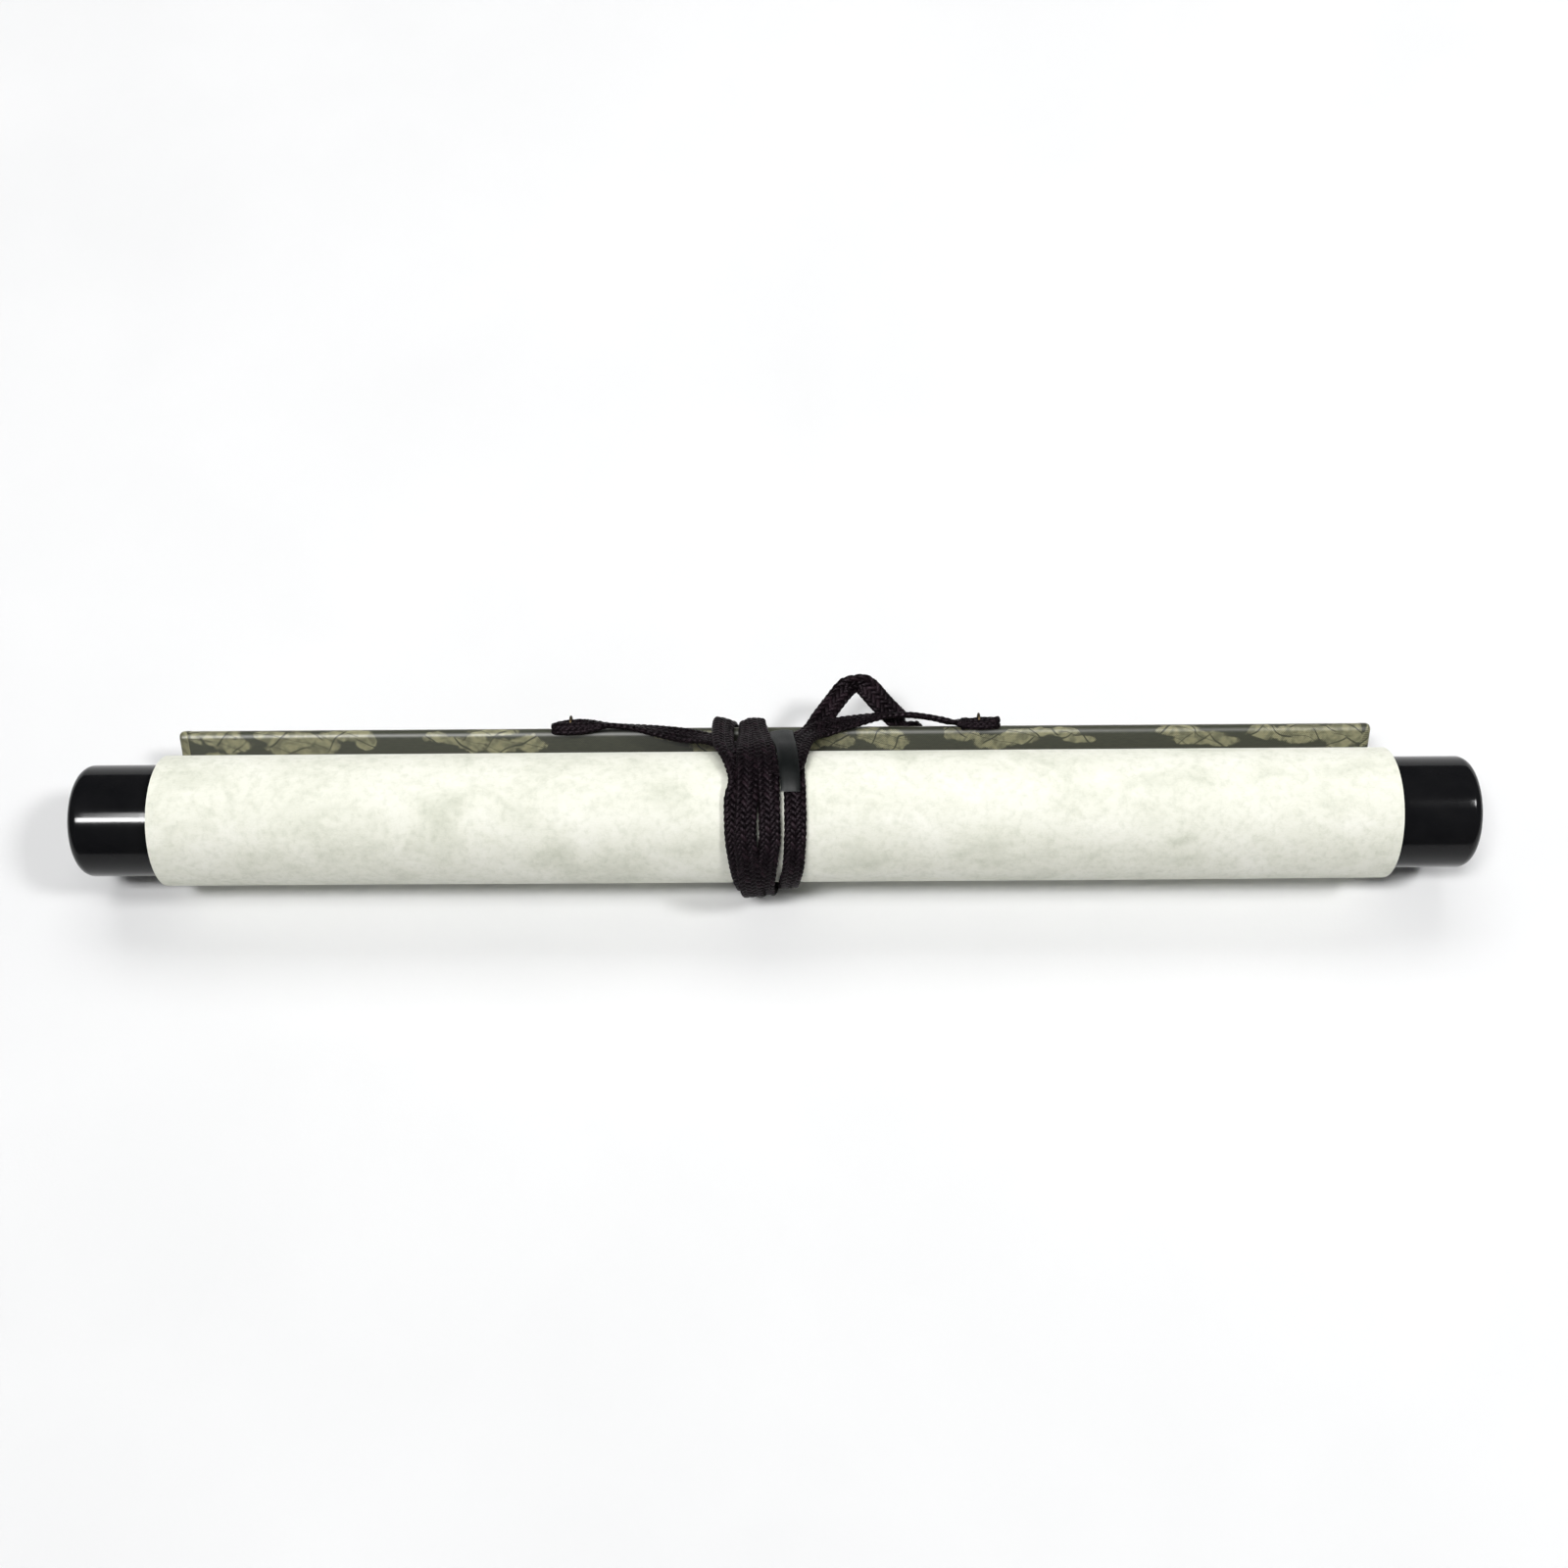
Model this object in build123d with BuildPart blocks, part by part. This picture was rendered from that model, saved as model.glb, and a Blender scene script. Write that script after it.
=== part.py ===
from build123d import *
from math import acos, atan2, cos, hypot, radians, sin
import os

# A rolled hanging scroll, tied shut. A long sheet of cloth and paper is wound on a round wooden
# roller with a black knob at each end. The sheet's top edge is wrapped round a half-round stave,
# which carries two screw rings, a hanging cord between them and a flat cord wound round the roll.
#
# Frame: the origin is the centre of the left knob's outer face. +X runs along the roller's axis
# to the right knob, +Y points away from the viewer and +Z is up. Millimetres.

# Driving dimensions
knob_radius = 15.0
knob_reach = 22.0
knob_edge_round = 3.0
inner_rim_round = 0.5
rod_length = 328.0
tenon_radius = 6.0
tenon_length = 14.0
tenon_chamfer = 0.6
socket_clearance = 0.02
socket_extra_depth = 1.0
roll_radius = 18.0
turns = 12
sheet_pitch = 0.56
backing_thickness = 0.26
cloth_thickness = 0.22
sheet_end_gap = 0.3
border_width = 28.0
joint_gap = 0.05
running_gap = 0.05
stave_angle = -44.0
stave_radius = 7.0
stave_edge_round = 1.4
stave_free_edge = 17.5
ring_spacing = 112.0
ring_wire_radius = 0.35
ring_radius = 1.5
shank_radius = 0.7
shank_length = 8.0
plate_radius = 1.3
plate_thickness = 0.25
cord_width = 5.8
cord_thickness = 1.4
cord_neck_radius = 0.85
cord_neck_length = 1.6
cord_neck_overlap = 0.8
cord_fold_length = 2.4
cord_sag = 13.0
cord_end_slope = 0.1
cord_crossing_share = 0.5
coil_turns = 4
coil_start = 172.8
coil_pitch = 5.4
coil_cord_width = 5.0
coil_gap = 0.1
loop_lean = 40.0
loop_foot = (20.6, 20.8)
loop_path = [(196.6, -1.0), (208.0, 13.4), (213.0, 13.4), (221.5, -1.0)]

# Half turns of the winding, counted inwards from the stave, where each piece of facing lies
half_turns = 2 * turns
top_cloth_last = 6
upper_band_turn = 7
art_first = 8
art_last = 17
lower_band_turn = 18
bottom_cloth_first = 19

# Worked out from them
total_length = rod_length + 2 * knob_reach
mid_x = total_length / 2
sheet_thickness = backing_thickness + cloth_thickness
sheet_start = knob_reach + sheet_end_gap
sheet_width = rod_length - 2 * sheet_end_gap
band_width = sheet_width - 2 * border_width
rod_radius = roll_radius - half_turns * sheet_pitch / 2 - sheet_thickness - joint_gap
flat_at = roll_radius - backing_thickness
corner_rise = ((stave_radius - stave_edge_round) ** 2 - stave_edge_round**2) ** 0.5
corner_at = stave_free_edge - cloth_thickness - stave_edge_round
stave_centre = corner_at - corner_rise
stave_low_edge = stave_centre - corner_rise - stave_edge_round - cloth_thickness
shank_at = flat_at + stave_edge_round
ring_at = stave_free_edge + plate_thickness + running_gap + ring_wire_radius + ring_radius
ring_places = {"left": mid_x - ring_spacing / 2, "right": mid_x + ring_spacing / 2}
ring_sides = {"left": -1, "right": 1}

os.makedirs("parts", exist_ok=True)


def section(x):
    """Plane across the roll at x. Its own x axis runs out through the place where the sheet
    leaves the roll, and its own y axis runs along the flat of the stave to the free edge."""
    out = (0, cos(radians(stave_angle)), sin(radians(stave_angle)))
    return Plane(origin=(x, 0, 0), x_dir=out, z_dir=(1, 0, 0))


def place(x, out, along):
    """Point at x with the two coordinates of the section."""
    return section(x).from_local_coords((out, along, 0))


def arc_end(k, depth, side):
    """Where half turn k meets the section's x axis, at a depth below the sheet's outside."""
    centre = sheet_pitch / 4 if k % 2 == 0 else -sheet_pitch / 4
    radius = roll_radius - sheet_pitch / 4 - k * sheet_pitch / 2 - depth
    return centre + side * radius


def layer(first, last, outer, inner):
    """Flat profile of one layer of the wound sheet between two depths, over half turns first to
    last. Each half turn is an arc about one of two centres, so that the layers stay parallel."""
    with BuildSketch() as profile:
        with BuildLine():
            for depth in (outer, inner):
                for k in range(first, last + 1):
                    side = 1 if k % 2 == 0 else -1
                    start = arc_end(k, depth, side)
                    end = arc_end(k, depth, -side)
                    middle = ((start + end) / 2, -abs(start - end) / 2 * side)
                    ThreePointArc((start, 0), middle, (end, 0))
            first_side = 1 if first % 2 == 0 else -1
            last_side = -1 if last % 2 == 0 else 1
            Line((arc_end(first, outer, first_side), 0), (arc_end(first, inner, first_side), 0))
            Line((arc_end(last, outer, last_side), 0), (arc_end(last, inner, last_side), 0))
        make_face()
    return profile.sketch_local


def stave_profile(cover):
    """Flat profile of the half-round stave, flat towards the roll, with both long edges eased
    and a cover thickness added all round it."""
    with BuildSketch() as profile:
        with Locations((flat_at, stave_centre)):
            Circle(stave_radius)
            Rectangle(
                2 * stave_radius,
                2 * stave_radius,
                align=(Align.MAX, Align.CENTER),
                mode=Mode.SUBTRACT,
            )
        fillet(profile.vertices(), stave_edge_round)
        if cover:
            offset(amount=cover, mode=Mode.REPLACE)
    return profile.sketch_local


def across(x, profile, width):
    """Solid made by extruding a flat profile from x along the roller's axis."""
    with BuildPart() as solid:
        with BuildSketch(section(x)):
            add(profile)
        extrude(amount=width)
    return solid.part


def shank_plane(x, along):
    """Plane across a ring's shank at x, a distance along the flat of the stave."""
    return Plane(origin=place(x, shank_at, along), x_dir=(1, 0, 0), z_dir=section(x).y_dir)


def on_cord_plane(x, along, height):
    """Point of the plane that the hanging cord lies in. The plane holds both ring centres and
    rests on the roll. The along direction leads from the rings towards the viewer."""
    rest_radius = roll_radius + coil_gap + cord_thickness / 2
    ring_reach = hypot(shank_at, ring_at)
    tilt = atan2(ring_at, shank_at) + acos(rest_radius / ring_reach)
    out = shank_at - sin(tilt) * along + cos(tilt) * height
    up = ring_at + cos(tilt) * along + sin(tilt) * height
    return place(x, out, up)


def save(part, name):
    part.label = name
    export_step(part, f"parts/{name}.step")


# Roller rod: wood, with a tenon at each end for the knobs.
with BuildPart() as roller_rod:
    with BuildSketch(Plane.YZ.offset(knob_reach)):
        Circle(rod_radius)
    extrude(amount=rod_length)
    with BuildSketch(Plane.YZ.offset(knob_reach - tenon_length)):
        Circle(tenon_radius)
    extrude(amount=rod_length + 2 * tenon_length)
    rims = roller_rod.edges().filter_by(GeomType.CIRCLE).group_by(Axis.X)
    chamfer(rims[0] + rims[-1], tenon_chamfer)
save(roller_rod.part, "roller_rod")

# Knobs: turned cylinders with a rounded outer rim and a blind socket for the tenon.
with BuildPart() as left_knob:
    with BuildSketch(Plane.YZ):
        Circle(knob_radius)
    extrude(amount=knob_reach)
    rims = left_knob.edges().filter_by(GeomType.CIRCLE).sort_by(Axis.X)
    fillet(rims[0], knob_edge_round)
    fillet(rims[-1], inner_rim_round)
    with BuildSketch(Plane.YZ.offset(knob_reach)):
        Circle(tenon_radius + socket_clearance)
    extrude(amount=-(tenon_length + socket_extra_depth), mode=Mode.SUBTRACT)
save(left_knob.part, "left_knob")

with BuildPart() as right_knob:
    add(mirror(left_knob.part, about=Plane.YZ.offset(mid_x)))
save(right_knob.part, "right_knob")

# Backing paper: the outside of the sheet all the way, up to the stave's lower edge.
backing_spiral = layer(0, half_turns - 1, 0, backing_thickness)
with BuildPart() as backing_paper:
    with BuildSketch(section(sheet_start)):
        add(backing_spiral)
        with Locations((roll_radius, 0)):
            Rectangle(
                backing_thickness,
                stave_low_edge - joint_gap,
                align=(Align.MAX, Align.MIN),
            )
    extrude(amount=sheet_width)
save(backing_paper.part, "backing_paper")

# Top cloth: the facing nearest the stave, which goes on round the stave and back to the paper.
cloth_spiral = layer(0, top_cloth_last, backing_thickness, sheet_thickness)
stave_section = stave_profile(0)
cover_section = stave_profile(cloth_thickness)
shank_planes = [shank_plane(x, stave_free_edge) for x in ring_places.values()]
with BuildPart() as top_cloth:
    with BuildSketch(section(sheet_start)):
        add(cloth_spiral)
        with Locations((flat_at, 0)):
            Rectangle(cloth_thickness, stave_centre, align=(Align.MAX, Align.MIN))
        add(cover_section)
        add(stave_section, mode=Mode.SUBTRACT)
    extrude(amount=sheet_width)
    for plane in shank_planes:
        with BuildSketch(plane):
            Circle(shank_radius + running_gap)
        extrude(amount=-2 * cloth_thickness, mode=Mode.SUBTRACT)
save(top_cloth.part, "top_cloth")

# The rest of the facing: a band, the blank sheet and another band down the middle, a border
# on each side of them, and the bottom cloth that is glued round the roller.
middle_pieces = {
    "upper_band": (upper_band_turn, upper_band_turn),
    "art_sheet": (art_first, art_last),
    "lower_band": (lower_band_turn, lower_band_turn),
}
for name, (first, last) in middle_pieces.items():
    facing = layer(first, last, backing_thickness, sheet_thickness)
    save(across(sheet_start + border_width, facing, band_width), name)

border_facing = layer(upper_band_turn, lower_band_turn, backing_thickness, sheet_thickness)
save(across(sheet_start, border_facing, border_width), "left_border")
right_border_start = sheet_start + sheet_width - border_width
save(across(right_border_start, border_facing, border_width), "right_border")
bottom_facing = layer(bottom_cloth_first, half_turns - 1, backing_thickness, sheet_thickness)
save(across(sheet_start, bottom_facing, sheet_width), "bottom_cloth")

# Top stave: half-round wood inside the top cloth, drilled for the two shanks.
with BuildPart() as top_stave:
    with BuildSketch(section(sheet_start)):
        add(stave_section)
    extrude(amount=sheet_width)
    for plane in shank_planes:
        with BuildSketch(plane):
            Circle(shank_radius + running_gap)
        extrude(amount=-(shank_length + cloth_thickness), mode=Mode.SUBTRACT)
save(top_stave.part, "top_stave")

# End patches: the same cloth, glued over the two ends of the stave.
save(across(knob_reach, cover_section, sheet_end_gap), "left_stave_patch")
right_patch_start = sheet_start + sheet_width
save(across(right_patch_start, cover_section, sheet_end_gap), "right_stave_patch")

# Ring screws: a wire ring on a shank that turns in the stave, over a small washer.
for side, x in ring_places.items():
    edge_plane = shank_plane(x, stave_free_edge)
    ring_plane = Plane(origin=place(x, shank_at, ring_at), z_dir=(1, 0, 0))
    root_plane = shank_plane(x, ring_at - ring_radius)
    with BuildPart() as ring_screw:
        with Locations(ring_plane):
            Torus(ring_radius, ring_wire_radius)
        with BuildSketch(root_plane):
            Circle(shank_radius)
        extrude(amount=-shank_length)
    save(ring_screw.part, f"{side}_ring_screw")

    with BuildPart() as ring_washer:
        with BuildSketch(edge_plane):
            Circle(plate_radius)
            Circle(shank_radius + running_gap, mode=Mode.SUBTRACT)
        extrude(amount=plate_thickness)
    save(ring_washer.part, f"{side}_ring_washer")

# Hanging cord: a flat braid that dips from each ring towards the viewer and rests on the roll.
# At each ring it narrows to a neck through the ring and is folded back outside it.
cord_origin = on_cord_plane(0, 0, 0)
cord_normal = on_cord_plane(0, 0, 1) - cord_origin
cord_plane = Plane(origin=cord_origin, x_dir=(1, 0, 0), z_dir=cord_normal)
neck_inner = {
    side: x - ring_sides[side] * cord_neck_length for side, x in ring_places.items()
}
neck_length = 2 * (cord_neck_length + cord_neck_overlap)
with BuildPart() as hanging_cord:
    with BuildSketch(cord_plane):
        with BuildLine():
            Spline(
                (neck_inner["left"], 0),
                (mid_x, -cord_sag),
                (neck_inner["right"], 0),
                tangents=[(1, -cord_end_slope), (1, cord_end_slope)],
            )
        trace(line_width=cord_width)
    extrude(amount=cord_thickness / 2, both=True)
    for x in ring_places.values():
        with Locations(cord_plane * Location((x, 0, 0))):
            Cylinder(cord_neck_radius, neck_length, rotation=(0, 90, 0))
    for side, x in ring_places.items():
        outward = ring_sides[side]
        with Locations(cord_plane * Location((x + outward * cord_neck_length, 0, 0))):
            Box(
                cord_fold_length,
                cord_width,
                2 * cord_thickness,
                align=(Align.MAX if outward < 0 else Align.MIN, Align.CENTER, Align.CENTER),
            )
save(hanging_cord.part, "hanging_cord")

# Wrapping cord: the same braid, wound round the roll, the stave and the hanging cord. Each turn
# lies beside the last, and one strip along the underside leads from turn to turn.
dip_edges = []
for along in (cord_sag + cord_width, cord_sag * cord_crossing_share):
    local = section(0).to_local_coords(on_cord_plane(0, along, cord_thickness / 2))
    dip_edges.append((local.X, local.Y))
with BuildSketch() as inside:
    with BuildLine():
        CenterArc((0, 0), roll_radius, 0, 360)
        CenterArc((flat_at, stave_centre), stave_radius + cloth_thickness, 0, 360)
        for rise in (corner_rise, -corner_rise):
            corner = (shank_at, stave_centre + rise)
            CenterArc(corner, stave_edge_round + cloth_thickness, 0, 360)
        Line(*dip_edges)
    make_hull()
    offset(amount=coil_gap)
with BuildSketch() as turn_profile:
    add(inside.sketch_local)
    offset(amount=cord_thickness)
    add(inside.sketch_local, mode=Mode.SUBTRACT)
with BuildSketch() as link_profile:
    add(turn_profile.sketch_local)
    with Locations((0, -roll_radius)):
        Rectangle(coil_cord_width, roll_radius, mode=Mode.INTERSECT)
coil_length = (coil_turns - 1) * coil_pitch + coil_cord_width
with BuildPart() as wrapping_cord:
    for turn in range(coil_turns):
        with BuildSketch(section(coil_start + turn * coil_pitch)):
            add(turn_profile.sketch_local)
        extrude(amount=coil_cord_width)
    with BuildSketch(section(coil_start)):
        add(link_profile.sketch_local)
    extrude(amount=coil_length)
save(wrapping_cord.part, "wrapping_cord")

# Cord loop: the last of the cord, tucked under the turns so that it stands up as a loop.
lean = Vector(0, cos(radians(loop_lean)), sin(radians(loop_lean)))
loop_plane = Plane(
    origin=place(0, *loop_foot),
    x_dir=(1, 0, 0),
    z_dir=Vector(1, 0, 0).cross(lean),
)
with BuildPart() as cord_loop:
    with BuildSketch(loop_plane):
        with BuildLine():
            Polyline(*loop_path)
        trace(line_width=cord_width)
    extrude(amount=cord_thickness / 2, both=True)
save(cord_loop.part, "cord_loop")
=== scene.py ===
import math

import bpy
import numpy as np
from mathutils import Matrix, Vector


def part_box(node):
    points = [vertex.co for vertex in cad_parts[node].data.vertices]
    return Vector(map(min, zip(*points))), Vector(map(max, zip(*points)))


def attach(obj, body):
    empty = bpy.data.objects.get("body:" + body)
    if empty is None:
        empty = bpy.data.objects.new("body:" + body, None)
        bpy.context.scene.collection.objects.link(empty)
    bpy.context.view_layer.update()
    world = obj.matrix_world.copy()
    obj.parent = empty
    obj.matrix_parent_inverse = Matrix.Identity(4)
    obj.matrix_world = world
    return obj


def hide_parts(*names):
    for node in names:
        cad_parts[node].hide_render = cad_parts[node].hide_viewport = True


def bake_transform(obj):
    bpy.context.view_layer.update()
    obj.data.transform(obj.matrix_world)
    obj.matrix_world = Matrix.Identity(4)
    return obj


# A rolled hanging scroll tied with its cord. Lengths are in millimetres in the CAD's frame until a
# mesh is made, and MM turns them into metres. Cross-sections use two extra pairs of axes: the
# picture pair (v up the picture, w towards the camera) and the stave pair (out from the roll
# through the place where the sheet leaves it, and along the flat of the stave).

MM = 0.001
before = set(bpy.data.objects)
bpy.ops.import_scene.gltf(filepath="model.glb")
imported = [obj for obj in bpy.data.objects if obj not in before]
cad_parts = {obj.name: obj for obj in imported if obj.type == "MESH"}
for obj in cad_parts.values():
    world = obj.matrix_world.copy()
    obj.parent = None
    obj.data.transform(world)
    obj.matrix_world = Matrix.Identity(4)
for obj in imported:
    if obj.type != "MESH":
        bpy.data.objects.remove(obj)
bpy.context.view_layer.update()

# The part's own sizes, as in its CAD source
ROLL_R = 18.0
KNOB_R = 15.0
KNOB_REACH = 22.0
KNOB_ROUND = 3.0
LENGTH = 372.0
MID_X = LENGTH / 2
SHEET_X0, SHEET_X1 = 22.3, 349.7
BORDER = 28.0
PITCH = 0.56
BACKING = 0.26
CLOTH = 0.22
STAVE_ANGLE = math.radians(-44.0)
STAVE_R = 7.0
STAVE_EDGE = 1.4
FREE_EDGE = 17.5
FLAT_AT = ROLL_R - BACKING
CORNER_RISE = math.sqrt((STAVE_R - STAVE_EDGE) ** 2 - STAVE_EDGE**2)
STAVE_MID = FREE_EDGE - CLOTH - STAVE_EDGE - CORNER_RISE
CORNER_AT = FLAT_AT + STAVE_EDGE
LOW_EDGE = STAVE_MID - CORNER_RISE - STAVE_EDGE - CLOTH

# The camera's angle above the table, and the axes of the picture and of the stave
ELEVATION = math.radians(70.0)
U_AXIS = np.array([0.0, math.sin(ELEVATION), math.cos(ELEVATION)])
W_AXIS = np.array([0.0, -math.cos(ELEVATION), math.sin(ELEVATION)])
OUT_AXIS = np.array([0.0, math.cos(STAVE_ANGLE), math.sin(STAVE_ANGLE)])
ALONG_AXIS = np.array([0.0, -math.sin(STAVE_ANGLE), math.cos(STAVE_ANGLE)])
X_AXIS = np.array([1.0, 0.0, 0.0])

# ---- mesh helpers


def store(mesh, attributes):
    """Puts named values on a mesh, three for each point."""
    for key, values in attributes.items():
        layer = mesh.attributes.new(key, "FLOAT_VECTOR", "POINT")
        layer.data.foreach_set("vector", np.asarray(values, np.float32).ravel())


def make_mesh(name, verts, faces, attributes=None):
    """A smooth-shaded mesh object from points in millimetres."""
    mesh = bpy.data.meshes.new(name)
    mesh.from_pydata((np.asarray(verts) * MM).tolist(), [], faces)
    mesh.shade_smooth()
    store(mesh, attributes or {})
    mesh.validate()
    obj = bpy.data.objects.new(name, mesh)
    bpy.context.scene.collection.objects.link(obj)
    return obj


def grid_faces(rows, columns, offset=0, close_columns=False, flip=False):
    """Quads between rows of points; close_columns joins the last column to the first."""
    last = columns if close_columns else columns - 1
    faces = []
    for i in range(rows - 1):
        for j in range(last):
            a = offset + i * columns + j
            b = offset + i * columns + (j + 1) % columns
            quad = (a, b, b + columns, a + columns)
            faces.append(quad[::-1] if flip else quad)
    return faces


def tube_faces(rows, columns, offset=0, flip=False):
    """Quads round a tube of rings of points, and a cap on each end, the last ring's last."""
    faces = grid_faces(rows, columns, offset, close_columns=True, flip=flip)
    first = tuple(range(offset, offset + columns))
    last = tuple(index + (rows - 1) * columns for index in first)
    return faces + ([first, last[::-1]] if flip else [first[::-1], last])


def catmull(keys, per_span=14):
    """Smooth curve through key rows, by uniform Catmull-Rom spans."""
    keys = np.asarray(keys, float)
    padded = np.vstack([2 * keys[0] - keys[1], keys, 2 * keys[-1] - keys[-2]])
    rows = []
    for i in range(len(keys) - 1):
        p0, p1, p2, p3 = padded[i : i + 4]
        for t in np.linspace(0, 1, per_span, endpoint=False):
            square = (2 * p0 - 5 * p1 + 4 * p2 - p3) * t**2
            cube = (3 * p1 - p0 - 3 * p2 + p3) * t**3
            rows.append(0.5 * (2 * p1 + (p2 - p0) * t + square + cube))
    rows.append(keys[-1])
    return np.array(rows)


def resample(rows, step):
    """Rows evenly spaced along the curve that their first three columns draw."""
    gaps = np.linalg.norm(np.diff(rows[:, :3], axis=0), axis=1)
    length = np.concatenate([[0], np.cumsum(gaps)])
    count = max(2, int(length[-1] / step) + 1)
    marks = np.linspace(0, length[-1], count)
    columns = [np.interp(marks, length, rows[:, k]) for k in range(rows.shape[1])]
    return np.stack(columns, axis=1), marks


# ---- materials

WHITE = (1, 1, 1, 1)
SHADER_INPUTS = {
    "color": "Base Color",
    "rough": "Roughness",
    "normal": "Normal",
    "metal": "Metallic",
    "sheen": "Sheen Weight",
    "sheen_rough": "Sheen Roughness",
    "sheen_tint": "Sheen Tint",
    "specular": "Specular IOR Level",
    "specular_tint": "Specular Tint",
}


def grey(value):
    return (value, value, value, 1)


class Nodes:
    """A small helper that adds and joins shader nodes of one material."""

    def __init__(self, name):
        self.material = bpy.data.materials.new(name)
        self.material.use_nodes = True
        self.tree = self.material.node_tree
        self.shader = self.tree.nodes["Principled BSDF"]

    def add(self, kind, inputs=None, **settings):
        node = self.tree.nodes.new(kind)
        for key, value in settings.items():
            setattr(node, key, value)
        for key, value in (inputs or {}).items():
            self.put(node, key, value)
        return node

    def put(self, node, key, value):
        if isinstance(value, bpy.types.NodeSocket):
            self.tree.links.new(value, node.inputs[key])
        else:
            node.inputs[key].default_value = value

    def finished(self, **inputs):
        """The material, with its shader's inputs set."""
        for key, value in inputs.items():
            self.put(self.shader, SHADER_INPUTS[key], value)
        return self.material

    def math(self, operation, a, b=0.0):
        return self.add("ShaderNodeMath", {0: a, 1: b}, operation=operation).outputs[0]

    def plus(self, a, b):
        return self.math("ADD", a, b)

    def times(self, a, b):
        return self.math("MULTIPLY", a, b)

    def swing(self, value, size):
        """A value from 0 to 1 turned into one about zero, this big from end to end."""
        return self.times(self.math("SUBTRACT", value, 0.5), size)

    def shares(self, a, part_a, b, part_b):
        """The sum of two values, each times its own part."""
        return self.plus(self.times(a, part_a), self.times(b, part_b))

    def span(self, value, low, high, to_low=0.0, to_high=1.0):
        """A value's place between low and high, clamped, as one between to_low and to_high."""
        ends = {"From Min": low, "From Max": high, "To Min": to_low, "To Max": to_high}
        return self.add("ShaderNodeMapRange", {"Value": value, **ends}).outputs[0]

    def stored(self, name):
        return self.add("ShaderNodeAttribute", attribute_name=name).outputs["Vector"]

    def split(self, vector):
        return self.add("ShaderNodeSeparateXYZ", {"Vector": vector}).outputs[:3]

    def place(self, source=None, scale=(1000, 1000, 1000)):
        """Object position in millimetres, or a stored attribute, scaled."""
        if source:
            vector = self.stored(source)
        else:
            vector = self.add("ShaderNodeTexCoord").outputs["Object"]
        return self.add("ShaderNodeMapping", {"Vector": vector, "Scale": scale}).outputs[0]

    def noise(self, vector, scale, detail=3.0, rough=0.55, distortion=0.0, seed=0.0):
        inputs = {"Vector": vector, "W": seed, "Scale": scale, "Detail": detail}
        inputs.update({"Roughness": rough, "Distortion": distortion})
        return self.add("ShaderNodeTexNoise", inputs, noise_dimensions="4D").outputs["Fac"]

    def ramp(self, value, *stops):
        """Colours at places from 0 to 1."""
        node = self.add("ShaderNodeValToRGB", {"Fac": value})
        while len(node.color_ramp.elements) < len(stops):
            node.color_ramp.elements.new(0.5)
        for element, (at, color) in zip(node.color_ramp.elements, stops):
            element.position = at
            element.color = color if len(color) == 4 else (*color, 1)
        return node.outputs["Color"]

    def mix(self, factor, a, b, mode="MIX"):
        inputs = {0: factor, 6: a, 7: b}
        return self.add("ShaderNodeMix", inputs, data_type="RGBA", blend_type=mode).outputs[2]

    def multiply(self, factor, a, b):
        return self.mix(factor, a, b, "MULTIPLY")

    def bump(self, height, strength, distance):
        inputs = {"Height": height, "Strength": strength, "Distance": distance}
        return self.add("ShaderNodeBump", inputs).outputs[0]


def paper_material():
    """Handmade backing paper: cloudy, slightly green white with long soft fibres."""
    n = Nodes("washi_backing")
    at = n.place()
    clouds = n.noise(n.place(scale=(700, 1000, 1000)), 0.085, 5.0, 0.62, 0.6, 1.3)
    flecks = n.noise(at, 0.55, 4.0, 0.6, 0.3, 4.1)
    fibres = n.noise(n.place(scale=(240, 1000, 1000)), 2.4, 6.0, 0.7, 1.8, 7.7)
    tooth = n.noise(at, 3.2, 4.0, 0.7, 0.0, 2.0)
    color = n.ramp(
        clouds, (0.30, (0.690, 0.705, 0.605)), (0.47, (0.825, 0.830, 0.735)), (0.66, (0.900, 0.900, 0.820))
    )
    fleck_color = n.ramp(flecks, (0.30, (0.86, 0.87, 0.84)), (0.52, (0.98, 0.98, 0.97)), (0.75, WHITE))
    color = n.multiply(1.0, color, fleck_color)
    color = n.multiply(0.55, color, n.ramp(fibres, (0.40, (0.93, 0.93, 0.90)), (0.52, WHITE)))
    relief = n.bump(n.shares(fibres, 0.6, tooth, 0.4), 0.35, 0.00012)
    return n.finished(color=color, rough=0.86, normal=relief, sheen=0.12, specular=0.25)


def picture_paper_material():
    """The sheet in the middle: smoother, whiter paper with a faint tone variation."""
    n = Nodes("smooth_paper")
    at = n.place()
    tone = n.noise(at, 0.12, 4.0, 0.5, 0.2, 9.0)
    color = n.ramp(tone, (0.3, (0.80, 0.76, 0.66)), (0.7, (0.87, 0.84, 0.76)))
    relief = n.bump(n.noise(at, 4.0, 4.0), 0.2, 0.0001)
    return n.finished(color=color, rough=0.8, normal=relief, specular=0.25)


def weave_height(n, vector, pitch):
    """Fine twill: slanting ribs of two thread directions, as a height."""
    x, y, _ = n.split(vector)
    turn = 2 * math.pi / pitch
    ribs = n.math("SINE", n.times(n.plus(x, n.times(y, 0.8)), turn))
    picks = n.math("SINE", n.times(n.math("SUBTRACT", y, n.times(x, 0.2)), 2 * turn))
    return n.plus(n.shares(ribs, 0.32, picks, 0.14), 0.5)


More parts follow.
